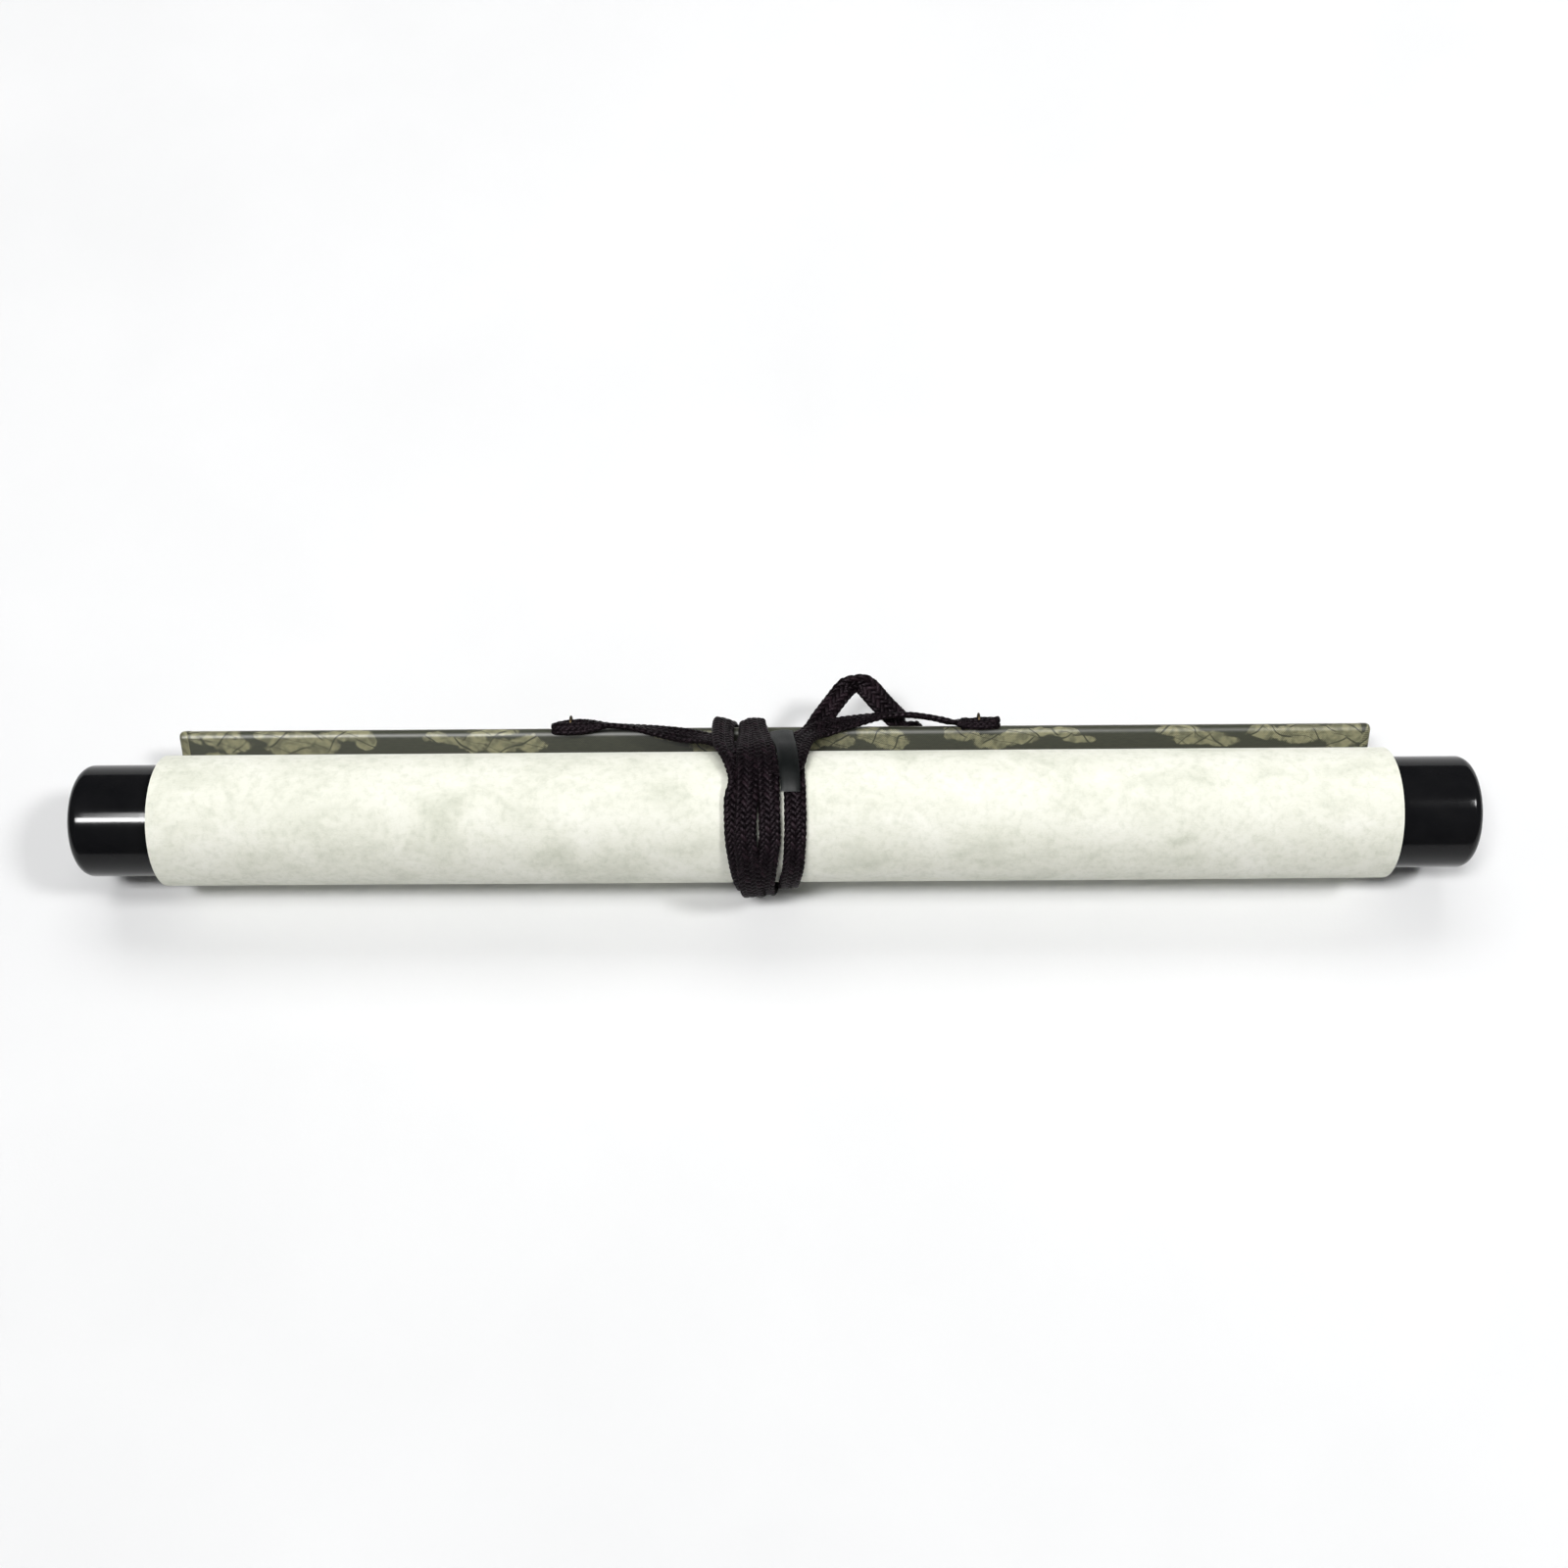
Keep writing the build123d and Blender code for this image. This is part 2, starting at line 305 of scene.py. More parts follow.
def brocade_veins(n, cloth):
    """Zero on thin dark lines that slant three ways, bent and broken up by slow noise."""
    x_way, s_way, _ = n.split(cloth)
    bend = n.times(n.noise(cloth, 0.11, 1.0, 0.5, 0.2, 11.0), 14.0)
    gate = n.noise(cloth, 0.13, 0.0, 0.5, 0.0, 21.0)
    vein = 1.0
    for slant, spacing, half_width, low, high in (
        (1.1, 6.4, 0.15, 0.46, 0.54), (-1.3, 8.7, 0.12, 0.54, 0.46), (3.2, 12.0, 0.07, 0.5, 0.42)
    ):
        along = n.plus(n.plus(x_way, n.times(s_way, slant)), bend)
        wave = n.math("ABSOLUTE", n.math("SINE", n.times(along, math.pi / spacing)))
        line = n.span(wave, half_width * 0.5, half_width * 1.5)
        vein = n.times(vein, n.math("MAXIMUM", line, n.span(gate, low, high)))
    return vein


def brocade_material():
    """Dark olive twill with a figured weft of dull gold leaves and clouds."""
    n = Nodes("olive_gold_brocade")
    cloth = n.place("cloth", (1, 1, 1))
    twill = weave_height(n, cloth, 0.5)
    # The figures' edges are scalloped, stepped and dithered by the weave
    scallop = n.swing(n.noise(cloth, 0.26, 1.0, 0.5, 0.4, 3.0), 2.0)
    steps = n.swing(n.noise(cloth, 1.1, 1.0, 0.5, 0.0, 8.0), 0.55)
    level = n.plus(n.plus(n.split(n.stored("figure"))[0], scallop), n.plus(steps, n.swing(twill, 0.25)))
    worn = n.ramp(n.noise(cloth, 0.42, 2.0, 0.5, 0.3, 31.0), (0.38, grey(0.42)), (0.58, WHITE))
    gold = n.times(n.times(n.span(level, 0.10, 0.34), brocade_veins(n, cloth)), worn)
    slub = n.noise(n.place("cloth", (0.4, 3.0, 1)), 1.2, 3.0, 0.6, 0.0, 5.0)
    dark = n.ramp(slub, (0.3, (0.027, 0.030, 0.017)), (0.7, (0.052, 0.055, 0.032)))
    light = n.ramp(slub, (0.3, (0.235, 0.225, 0.125)), (0.7, (0.345, 0.335, 0.205)))
    # Painted shade in the grooves between the twill's ribs and painted light on their crests: the colour
    # is darker where the weave is low and lighter where it is high
    rib_painted_shade_and_light = n.ramp(twill, (0.15, (0.58, 0.58, 0.56)), (0.75, (1.12, 1.12, 1.10)))
    return n.finished(
        color=n.multiply(1.0, n.mix(gold, dark, light), rib_painted_shade_and_light),
        rough=n.span(gold, 0.0, 1.0, 0.50, 0.42),
        normal=n.bump(n.shares(twill, 0.7, gold, 0.5), 0.38, 0.00010),
        sheen=0.25,
        sheen_rough=0.35,
        specular=0.5,
        sheen_tint=(0.75, 0.72, 0.6, 1),
    )


def silk_material(name, low, high, pitch):
    """Plain mounting silk with a visible crossed weave."""
    n = Nodes(name)
    at = n.place()
    weave = weave_height(n, at, pitch)
    color = n.ramp(n.noise(at, 0.3, 4.0, 0.6, 0.2, 6.0), (0.3, low), (0.7, high))
    # Painted shade in the grooves of the weave: the colour is darker where the weave is low
    color = n.multiply(0.5, color, n.ramp(weave, (0.2, grey(0.7)), (0.8, WHITE)))
    relief = n.bump(weave, 0.5, 0.0001)
    return n.finished(color=color, rough=0.55, normal=relief, sheen=0.4, specular=0.4)


def cord_material(name, low, high, glint):
    """Dyed silk braid: each yarn is a bundle of fine filaments with a soft sheen."""
    n = Nodes(name)
    along, around, which = n.split(n.place("yarn", (1, 1, 1)))
    filaments = n.math("SINE", n.times(n.shares(around, 5.0, along, 1.3), 2 * math.pi))
    own = n.add("ShaderNodeTexWhiteNoise", {"W": which}, noise_dimensions="1D").outputs["Value"]
    tone = n.shares(own, 0.55, n.noise(n.place(), 2.6, 5.0, 0.7, 0.2, 8.0), 0.45)
    shade = n.ramp(n.plus(n.times(filaments, 0.5), 0.5), (0.0, grey(0.55)), (1.0, WHITE))
    return n.finished(
        color=n.multiply(0.7, n.ramp(tone, (0.22, low), (0.62, high), (0.85, glint)), shade),
        rough=0.42,
        normal=n.bump(filaments, 0.5, 0.00006),
        sheen=0.015,
        sheen_rough=0.4,
        sheen_tint=(0.55, 0.32, 0.45, 1),
        specular=0.07,
        specular_tint=(1.0, 0.80, 0.92, 1),
    )


def tape_material():
    """Smooth dark tape sewn over the place where the two cords meet."""
    n = Nodes("joint_tape")
    at = n.place()
    tone = n.noise(at, 0.8, 4.0, 0.6, 0.2, 2.5)
    color = n.ramp(tone, (0.3, (0.0014, 0.0022, 0.0022)), (0.7, (0.0038, 0.0054, 0.0052)))
    relief = n.bump(weave_height(n, at, 0.22), 0.25, 0.00005)
    return n.finished(color=color, rough=0.5, normal=relief, sheen=0.01, specular=0.14)


def lacquer_material():
    """Black lacquer: a deep gloss with faint polishing marks, dust and worn rims."""
    n = Nodes("black_lacquer_gloss")
    at = n.place()
    swirl = n.noise(n.place(scale=(1000, 160, 160)), 1.6, 4.0, 0.6, 0.0, 1.0)
    speck = n.ramp(n.noise(at, 3.4, 4.0, 0.75, 0.0, 3.3), (0.66, grey(0.0)), (0.80, WHITE))
    base = n.ramp(n.noise(at, 0.12, 3.0), (0.3, (0.0045, 0.0047, 0.0055)), (0.7, (0.008, 0.008, 0.0088)))
    rim = n.span(n.add("ShaderNodeNewGeometry").outputs["Pointiness"], 0.53, 0.62)
    color = n.mix(n.times(rim, 0.35), base, (0.05, 0.042, 0.035, 1))
    color = n.mix(n.times(speck, 0.12), color, (0.16, 0.155, 0.15, 1))
    rough = n.plus(n.plus(n.times(swirl, 0.09), 0.075), n.times(rim, 0.12))
    return n.finished(color=color, rough=rough, normal=n.bump(swirl, 0.04, 0.00005), specular=0.16)


def wood_material(name, low, high):
    """Straight-grained softwood, grain along the roller."""
    n = Nodes(name)
    grain = n.noise(n.place(scale=(60, 1000, 1000)), 0.9, 6.0, 0.65, 1.2, 2.0)
    pores = n.noise(n.place(scale=(120, 1000, 1000)), 4.5, 3.0, 0.6, 0.0, 5.0)
    color = n.ramp(grain, (0.32, low), (0.5, high), (0.62, low))
    color = n.multiply(0.4, color, n.ramp(pores, (0.35, grey(0.6)), (0.55, WHITE)))
    return n.finished(color=color, rough=0.62, normal=n.bump(grain, 0.25, 0.0001), specular=0.35)


def brass_material():
    """Old brass wire: brown tarnish with rubbed, brighter high points."""
    n = Nodes("tarnished_brass")
    tarnish = n.noise(n.place(), 1.9, 5.0, 0.65, 0.4, 1.0)
    worn = n.add("ShaderNodeNewGeometry").outputs["Pointiness"]
    color = n.ramp(tarnish, (0.35, (0.014, 0.010, 0.006)), (0.65, (0.050, 0.035, 0.018)))
    color = n.mix(n.times(worn, 0.5), color, (0.12, 0.085, 0.04, 1))
    rough = n.span(tarnish, 0.0, 1.0, 0.55, 0.28)
    return n.finished(color=color, rough=rough, metal=0.9, normal=n.bump(tarnish, 0.2, 0.00004))


def floor_material():
    """Plain pale cloth-covered table."""
    n = Nodes("pale_table")
    at = n.place()
    tone = n.noise(at, 0.012, 3.0, 0.5, 0.3, 1.0)
    color = n.ramp(tone, (0.3, (0.800, 0.803, 0.806)), (0.7, (0.835, 0.837, 0.840)))
    relief = n.bump(n.noise(at, 1.6, 3.0, 0.6, 0.0, 1.0), 0.12, 0.0002)
    return n.finished(color=color, rough=0.9, normal=relief, specular=0.2)


MATERIALS = {
    "backing_paper": paper_material(),
    "picture_paper": picture_paper_material(),
    "brocade": brocade_material(),
    "border_silk": silk_material("border_silk", (0.42, 0.38, 0.28), (0.52, 0.48, 0.37), 0.45),
    "band_silk": silk_material("band_silk", (0.10, 0.11, 0.07), (0.19, 0.18, 0.11), 0.5),
    "cord": cord_material(
        "dark_silk_braid", (0.0016, 0.0011, 0.0014), (0.0045, 0.0029, 0.0038), (0.026, 0.015, 0.020)
    ),
    "tape": tape_material(),
    "black_lacquer": lacquer_material(),
    "rod_wood": wood_material("rod_wood", (0.36, 0.24, 0.13), (0.52, 0.37, 0.22)),
    "stave_wood": wood_material("stave_wood", (0.44, 0.31, 0.17), (0.60, 0.45, 0.28)),
    "ring_brass": brass_material(),
    "floor": floor_material(),
}


def finish_piece(obj, material, *nodes, body="wound_sheet"):
    """Gives a piece its material, slot and body, and puts it in the place of CAD nodes."""
    obj.data.materials.clear()
    obj.data.materials.append(MATERIALS[material])
    if body:
        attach(obj, body)
    if nodes:
        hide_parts(*nodes)
    return obj


# ---- the wound sheet

ARC_STEPS = 44
LONG_COLUMNS = 60
SHORT_COLUMNS = 12
LEAD_STEPS = 8


def section_to_world(x, out, along):
    """Points in millimetres from arrays of the section's coordinates."""
    x, out, along = np.broadcast_arrays(x, out, along)
    return x[..., None] * X_AXIS + out[..., None] * OUT_AXIS + along[..., None] * ALONG_AXIS


def unevenness(turn_angle, x):
    """How far the roll swells or sinks, in millimetres, at an angle from the stave."""
    hold = np.sin(turn_angle / 2) ** 2
    long_wave = 0.09 * np.sin(x / 61.0 + 1.3) * np.sin(2 * turn_angle + 0.4)
    short_wave = 0.045 * np.sin(x / 23.0 + 2.1 * np.sin(turn_angle)) * np.cos(3 * turn_angle)
    return hold * (long_wave + short_wave - 0.06)


def end_shift(turn_angle, seed):
    """How far a turn's edge stands in or out at the end of the roll."""
    turn = turn_angle / (2 * math.pi)
    return 0.07 * np.sin(turn * 2.7 + seed) + 0.05 * np.sin(turn * 6.1 + 2 * seed)


def spiral(first, last, depth):
    """Total turning angle and section coordinates along one face of the wound sheet."""
    angles, centres, radii = [], [], []
    for k in range(first, last + 1):
        theta = np.linspace(k * math.pi, (k + 1) * math.pi, ARC_STEPS, endpoint=k == last)
        angles.append(theta)
        centres.append(np.full(theta.shape, PITCH / 4 if k % 2 == 0 else -PITCH / 4))
        radii.append(np.full(theta.shape, ROLL_R - PITCH / 4 - k * PITCH / 2 - depth))
    return np.concatenate(angles), np.concatenate(centres), np.concatenate(radii)


def closed_sheet(name, outer, inner, attributes=None, sharp=50):
    """Thin closed solid between two grids of world points, (profile, column, 3) each."""
    rows, columns = outer.shape[:2]
    verts = np.concatenate([outer, inner[::-1]], axis=0).reshape(-1, 3)
    total = 2 * rows
    faces = []
    for i in range(total):
        a, b = i * columns, (i + 1) % total * columns
        faces += [(a + j, a + j + 1, b + j + 1, b + j) for j in range(columns - 1)]
    for i in range(rows - 1):
        side = np.array([i, i + 1, total - 2 - i, total - 1 - i]) * columns
        faces.append(tuple(side.tolist()))
        faces.append(tuple((side[::-1] + columns - 1).tolist()))
    obj = make_mesh(name, verts, faces, attributes)
    if sharp:
        obj.data.set_sharp_from_angle(angle=math.radians(sharp))
    return obj


def wound_layer(name, first, last, outer_depth, inner_depth, x0, x1, lead=None):
    """One layer of the sheet. lead adds a straight part up the stave's flat before the spiral."""
    grids = []
    columns = SHORT_COLUMNS if x1 - x0 < 50 else LONG_COLUMNS
    marks = np.linspace(0, 1, columns)
    x = x0 + (x1 - x0) * marks
    for depth in (outer_depth, inner_depth):
        theta, centre, radius = (values[:, None] for values in spiral(first, last, depth))
        grow = unevenness(theta, x)
        out = centre + (radius + grow) * np.cos(theta)
        along = -(radius + grow) * np.sin(theta)
        xs = x + end_shift(theta, 1.0) * (1 - marks) + end_shift(theta, 4.0) * marks
        if lead:
            rise = np.linspace(lead, 0, LEAD_STEPS, endpoint=False)[:, None]
            out = np.vstack([np.full((LEAD_STEPS, columns), ROLL_R - depth), out])
            along = np.vstack([np.repeat(rise, columns, axis=1), along])
            xs = np.vstack([np.repeat(xs[:1], LEAD_STEPS, axis=0), xs])
        grids.append(section_to_world(xs, out, along))
    return closed_sheet(name, *grids)


backing = wound_layer("washi_backing", 0, 23, 0.0, BACKING, SHEET_X0, SHEET_X1, lead=LOW_EDGE - 0.05)
finish_piece(backing, "backing_paper", "backing_paper")

# Name, first and last half turn, material, CAD node, and the two ends along the roller
INNER_X0, INNER_X1 = SHEET_X0 + BORDER, SHEET_X1 - BORDER
for name, first, last, material, node, x0, x1 in (
    ("upper_band_cloth", 7, 7, "band_silk", "upper_band", INNER_X0, INNER_X1),
    ("blank_sheet", 8, 17, "picture_paper", "art_sheet", INNER_X0, INNER_X1),
    ("lower_band_cloth", 18, 18, "band_silk", "lower_band", INNER_X0, INNER_X1),
    ("left_border_silk", 7, 18, "border_silk", "left_border", SHEET_X0, INNER_X0),
    ("right_border_silk", 7, 18, "border_silk", "right_border", INNER_X1, SHEET_X1),
    ("bottom_cloth_silk", 19, 23, "border_silk", "bottom_cloth", SHEET_X0, SHEET_X1),
):
    piece = wound_layer(name, first, last, BACKING, BACKING + CLOTH, x0, x1)
    finish_piece(piece, material, node)


# ---- the stave and its cloth


def stave_outline(offset, steps=1):
    """Section coordinates of the stave's outline, from the lower corner round the curved side and
    the free edge, and down the flat. offset is outwards, and steps makes it finer."""
    corner_turn = math.atan2(CORNER_RISE, STAVE_EDGE)
    low = np.linspace(-math.pi + 0.12, -corner_turn, 12 * steps)
    big = np.linspace(-corner_turn, corner_turn, 46 * steps)[1:-1]
    top = np.linspace(corner_turn, math.pi, 20 * steps)
    flat = np.linspace(CORNER_RISE, -CORNER_RISE, 22 * steps)[1:]
    r_small, r_big = STAVE_EDGE + offset, STAVE_R + offset
    arcs = (
        (CORNER_AT, -CORNER_RISE, r_small, low),
        (FLAT_AT, 0.0, r_big, big),
        (CORNER_AT, CORNER_RISE, r_small, top),
    )
    out = [centre + r * np.cos(turn) for centre, _, r, turn in arcs]
    along = [STAVE_MID + rise + r * np.sin(turn) for _, rise, r, turn in arcs]
    out.append(np.full(flat.shape, FLAT_AT - offset))
    along.append(STAVE_MID + flat)
    return np.concatenate(out), np.concatenate(along)


def arc_marks(out, along):
    """Length along an outline from each of its points to its end."""
    length = np.concatenate([[0], np.cumsum(np.hypot(np.diff(out), np.diff(along)))])
    return length[-1] - length


# Gold figures of the brocade on the stave: centre along the roller, half length, centre up the
# flat, half height, all in millimetres. The rest of the cloth gets a repeat of the same figures.
FIGURES = [
    (31.5, 9.0, 17.0, 3.6), (36.0, 7.0, 14.2, 2.6), (47.0, 5.5, 16.8, 2.2), (54.0, 9.5, 14.0, 4.6),
    (61.5, 4.5, 14.4, 3.6), (68.5, 6.0, 17.2, 2.3), (73.0, 3.0, 15.0, 2.6), (92.5, 4.2, 16.2, 2.0),
    (97.0, 3.6, 15.2, 1.5), (103.0, 4.5, 14.2, 3.0), (110.0, 6.0, 13.4, 2.8), (118.0, 5.0, 14.0, 3.2),
    (109.0, 8.0, 17.6, 1.4),
    (158.0, 6.0, 16.4, 2.2), (167.0, 5.5, 14.0, 3.4), (196.0, 4.0, 13.5, 2.2), (203.5, 5.0, 14.6, 2.6),
    (213.0, 4.5, 16.0, 2.6), (218.5, 5.0, 14.2, 3.6), (237.5, 5.0, 16.2, 2.6), (247.0, 6.0, 13.6, 2.6),
    (252.5, 6.5, 15.0, 2.4), (258.5, 4.6, 16.6, 1.6), (266.0, 6.0, 16.4, 1.6), (270.5, 5.0, 14.2, 1.4),
    (297.0, 7.0, 16.8, 1.9), (303.5, 8.0, 14.6, 2.2), (309.0, 6.0, 13.2, 1.6), (322.0, 6.5, 16.2, 2.4),
    (331.5, 8.0, 15.6, 3.2), (342.0, 6.5, 14.4, 4.0), (346.5, 4.0, 16.0, 4.0),
]


def figure_level(x, s):
    """Above zero inside a gold figure. Outside the visible strip the figures repeat, shifted."""
    strip_start, repeat, shift = 11.2, 8.5, 77.0
    cell = np.floor((s - strip_start) / repeat)
    local = s - cell * repeat
    moved = SHEET_X0 + np.mod(x - SHEET_X0 + cell * shift, SHEET_X1 - SHEET_X0)
    level = np.full(x.shape, -2.0)
    for centre_x, half_x, centre_s, half_s in FIGURES:
        for wrap in (-repeat, 0.0, repeat) if half_s >= 3.0 else (0.0,):
            away = ((moved - centre_x) / half_x) ** 2 + ((local - centre_s - wrap) / half_s) ** 2
            level = np.maximum(level, 1.0 - away)
    return level


def cloth_attributes(x, s):
    """What the brocade reads at each point: its place on the cloth and its depth in a figure."""
    x, s = np.broadcast_arrays(x, s)
    cloth = np.stack([x, s, np.zeros(x.shape)], axis=-1)
    return {"cloth": cloth, "figure": np.repeat(figure_level(x, s), 3)}


def cover_mesh():
    """The top cloth round the stave, from the glued edge to the flat and down to the roll."""
    columns, inset = 420, 0.8
    marks = np.linspace(0, 1, columns)
    cloth_x = SHEET_X0 + (SHEET_X1 - SHEET_X0) * marks
    x = cloth_x + inset * (1 - marks) - inset * marks
    lead = np.linspace(STAVE_MID - CORNER_RISE, 0, 12)[1:]
    grids, lengths = [], []
    for offset in (CLOTH, 0.0):
        out, along = stave_outline(offset)
        out = np.concatenate([out, np.full(lead.shape, FLAT_AT - offset)])
        along = np.concatenate([along, lead])
        lengths.append(arc_marks(out, along))
        grids.append(section_to_world(x, out[:, None], along[:, None]))
    s = np.concatenate([lengths[0], lengths[0][::-1]])
    return closed_sheet("stave_cloth", *grids, cloth_attributes(cloth_x, s[:, None]))


finish_piece(cover_mesh(), "brocade", "top_cloth")

cloth_roll = wound_layer("top_cloth_turns", 0, 6, BACKING, BACKING + CLOTH, SHEET_X0, SHEET_X1)
# Hidden in the roll the figures only have to vary, so the points' numbers stand in for the length
points = cloth_roll.data.vertices
cloth_place = np.array([(point.co.x / MM, -point.index * 0.05 % 60) for point in points]).T
store(cloth_roll.data, cloth_attributes(*cloth_place))
finish_piece(cloth_roll, "brocade")

END_ROUND = 1.15
END_GAP = 0.1
WOOD_GAP = 0.02
PATCH_OVER = 0.06
PATCH_REACH = 2.6


def end_rounding(steps):
    """How far along the stave, and how far in, its rounded end is at each step."""
    turn = np.linspace(0, math.pi / 2, steps)
    return END_ROUND * (1 - np.cos(turn)), -END_ROUND * (1 - np.sin(turn))


def stave_bar():
    """The wooden stave, whose two ends are rounded over."""
    x0, x1 = SHEET_X0 + END_GAP, SHEET_X1 - END_GAP
    rise, sink = end_rounding(7)
    middle = np.linspace(x0 + END_ROUND, x1 - END_ROUND, 30)[1:-1]
    xs = np.concatenate([x0 + rise, middle, (x1 - rise)[::-1]])
    sinks = np.concatenate([sink, np.zeros(middle.shape), sink[::-1]])
    rows = [section_to_world(x, *stave_outline(sunk - WOOD_GAP)) for x, sunk in zip(xs, sinks)]
    grid = np.array(rows)
    return make_mesh("stave_wood_bar", grid.reshape(-1, 3), tube_faces(*grid.shape[:2]))


finish_piece(stave_bar(), "stave_wood", "top_stave")


def end_patch(name, x_face, direction):
    """Cloth glued over one end of the stave, with its frayed edge lapped over the top cloth."""
    rise, sink = end_rounding(9)
    rise = np.concatenate([rise, np.linspace(END_ROUND, PATCH_REACH, 6)[1:]])
    sink = np.concatenate([sink, np.zeros(5)])
    rows, lengths = [], []

    def add_row(x_in, out, along, length):
        rows.append(section_to_world(x_face + direction * x_in, out, along))
        lengths.append(length)

    edge_out, edge_along = stave_outline(CLOTH + PATCH_OVER - END_ROUND)
    middle_out, middle_along = edge_out.mean(), edge_along.mean()
    for part in (0.25, 0.6, 0.85):
        out = middle_out + (edge_out - middle_out) * part
        along = middle_along + (edge_along - middle_along) * part
        add_row(0.02 + 0.04 * part**4, out, along, along)
    for x_in, sunk in zip(rise, sink):
        out, along = stave_outline(CLOTH + PATCH_OVER + sunk)
        fray = 0.05 if x_in > PATCH_REACH - 0.3 else 0.0
        add_row(x_in + fray * np.sin(np.arange(len(out)) * 1.7), out, along, along + x_in)
    out, along = stave_outline(CLOTH + 0.005)
    add_row(PATCH_REACH, out, along, along)
    grid = np.array(rows)
    verts = grid.reshape(-1, 3)
    faces = tube_faces(*grid.shape[:2], flip=direction > 0)[:-1]
    x_cloth = verts[:, 0] * 0.9 + (verts @ OUT_AXIS) * 0.8
    return make_mesh(name, verts, faces, cloth_attributes(x_cloth, np.concatenate(lengths)))


for side, x_face, direction in (("left", 22.02, 1), ("right", 349.98, -1)):
    patch = end_patch(f"{side}_stave_cap", x_face, direction)
    finish_piece(patch, "brocade", f"{side}_stave_patch")


# ---- knobs


def knob(name, x_face, direction):
    """Turned, lacquered knob: a slightly hollow face, a full round outer rim, a soft inner rim and
    the bore that holds the rod's tenon."""
    flat_r = KNOB_R - KNOB_ROUND
    soft, bore_r, bore_depth = 0.5, 6.02, 15.0
    segments = 160
    profile = [(0.02 * (r / flat_r) ** 2, r) for r in np.linspace(0.4, flat_r, 9)]
    for a in np.linspace(0, math.pi / 2, 14):
        profile.append((KNOB_ROUND * (1 - math.cos(a)), flat_r + KNOB_ROUND * math.sin(a)))
    profile += [(x, KNOB_R) for x in np.linspace(KNOB_ROUND, KNOB_REACH - soft, 12)[1:]]
    for a in np.linspace(0, math.pi / 2, 6)[1:]:
        profile.append((KNOB_REACH - soft + soft * math.sin(a), KNOB_R - soft + soft * math.cos(a)))
    profile += [(KNOB_REACH, r) for r in (12.0, 9.0, bore_r)]
    profile += [(KNOB_REACH - depth, bore_r) for depth in (5.0, 10.0, bore_depth)]
    profile.append((KNOB_REACH - bore_depth, 3.0))
    x, r = np.array(profile).T[:, :, None]
    angles = np.linspace(0, 2 * math.pi, segments, endpoint=False)
    across = np.stack([r * np.cos(angles), r * np.sin(angles)], -1)
    lengthways = np.broadcast_to((x_face + direction * x)[..., None], (*across.shape[:2], 1))
    verts = np.concatenate([lengthways, across], -1)
    obj = make_mesh(name, verts.reshape(-1, 3), tube_faces(*verts.shape[:2], flip=direction > 0))
    obj.data.set_sharp_from_angle(angle=math.radians(60))
    return obj


for side, x_face, direction in (("left", 0.0, 1), ("right", LENGTH, -1)):
    turned = knob(f"{side}_lacquer_knob", x_face, direction)
    finish_piece(turned, "black_lacquer", f"{side}_knob", body="roller")

# The rod and the rings keep their CAD shapes and only get a material
for node in ("roller_rod", "left_ring_screw", "right_ring_screw", "left_ring_washer", "right_ring_washer"):
    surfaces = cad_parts[node].data.materials
    surfaces.clear()
    surfaces.append(MATERIALS["rod_wood" if node == "roller_rod" else "ring_brass"])


# ---- cords

CORD_W = 5.8
CORD_T = 1.4
YARNS = 8
YARN_HALF_W = 0.58
YARN_HALF_T = 0.2
WAVE = 0.25
LAY_LENGTH = 1.05 * (2 * (CORD_W - CORD_T) + math.pi * CORD_T)
ROW_STEP = 0.3
END_TAPER = 0.8
CORE_SIDE_GAP = 0.1
CORE_FACE_GAP = 0.24
CORE_LEAST_T = 0.4
LIFT_SPREAD = 0.012
WIDTH_SPREAD = 0.04
FILAMENT_RATE = 1.4
RING_ANGLE = np.linspace(0, 2 * math.pi, 6, endpoint=False)
CORE_SIDES = 20


def flat_oval(share, width, thick):
    """Points and outward normals round a flat oval, by share of its outline."""
    b = thick / 2
    a = np.maximum(width / 2 - b, 0.02)
    total = 4 * a + 2 * math.pi * b
    p = np.mod(share, 1.0) * total
    arc = math.pi * b
    on_top = p < 2 * a
    on_left = (p >= 2 * a) & (p < 2 * a + arc)
    on_low = (p >= 2 * a + arc) & (p < 4 * a + arc)
    left_turn = math.pi / 2 + (p - 2 * a) / b
    right_turn = -math.pi / 2 + (p - 4 * a - arc) / b
    turn = np.where(on_left, left_turn, right_turn)
    x_arc = np.where(on_left, -a, a) + b * np.cos(turn)
    y_arc = b * np.sin(turn)
    x = np.where(on_top, a - p, np.where(on_low, -a + (p - 2 * a - arc), x_arc))
    y = np.where(on_top, b, np.where(on_low, -b, y_arc))
    nx = np.where(on_top | on_low, 0.0, np.cos(turn))
    ny = np.where(on_top, 1.0, np.where(on_low, -1.0, np.sin(turn)))
    return x, y, nx, ny


def unit(v):
    return v / np.maximum(np.linalg.norm(v, axis=-1, keepdims=True), 1e-9)


def ribbon_frame(rows):
    """Middle line, face normal and width direction of a cord's rows, which hold x, y, z, a
    reference normal (3), twist in degrees, width, thickness and curl."""
    point = rows[:, :3]
    tangent = unit(np.gradient(point, axis=0))
    normal = rows[:, 3:6]
    normal = unit(normal - (normal * tangent).sum(1, keepdims=True) * tangent)
    side = np.cross(normal, tangent)
    twist = np.radians(rows[:, 6])[:, None]
    n = np.cos(twist) * normal + np.sin(twist) * side
    w = np.cos(twist) * side - np.sin(twist) * normal
    return point, n, w


def yarn_values(s, around, number):
    """What the cord material reads at each point: along the yarn, round it, and which yarn."""
    return np.stack(np.broadcast_arrays(s[:, None], around, float(number)), -1).reshape(-1, 3)


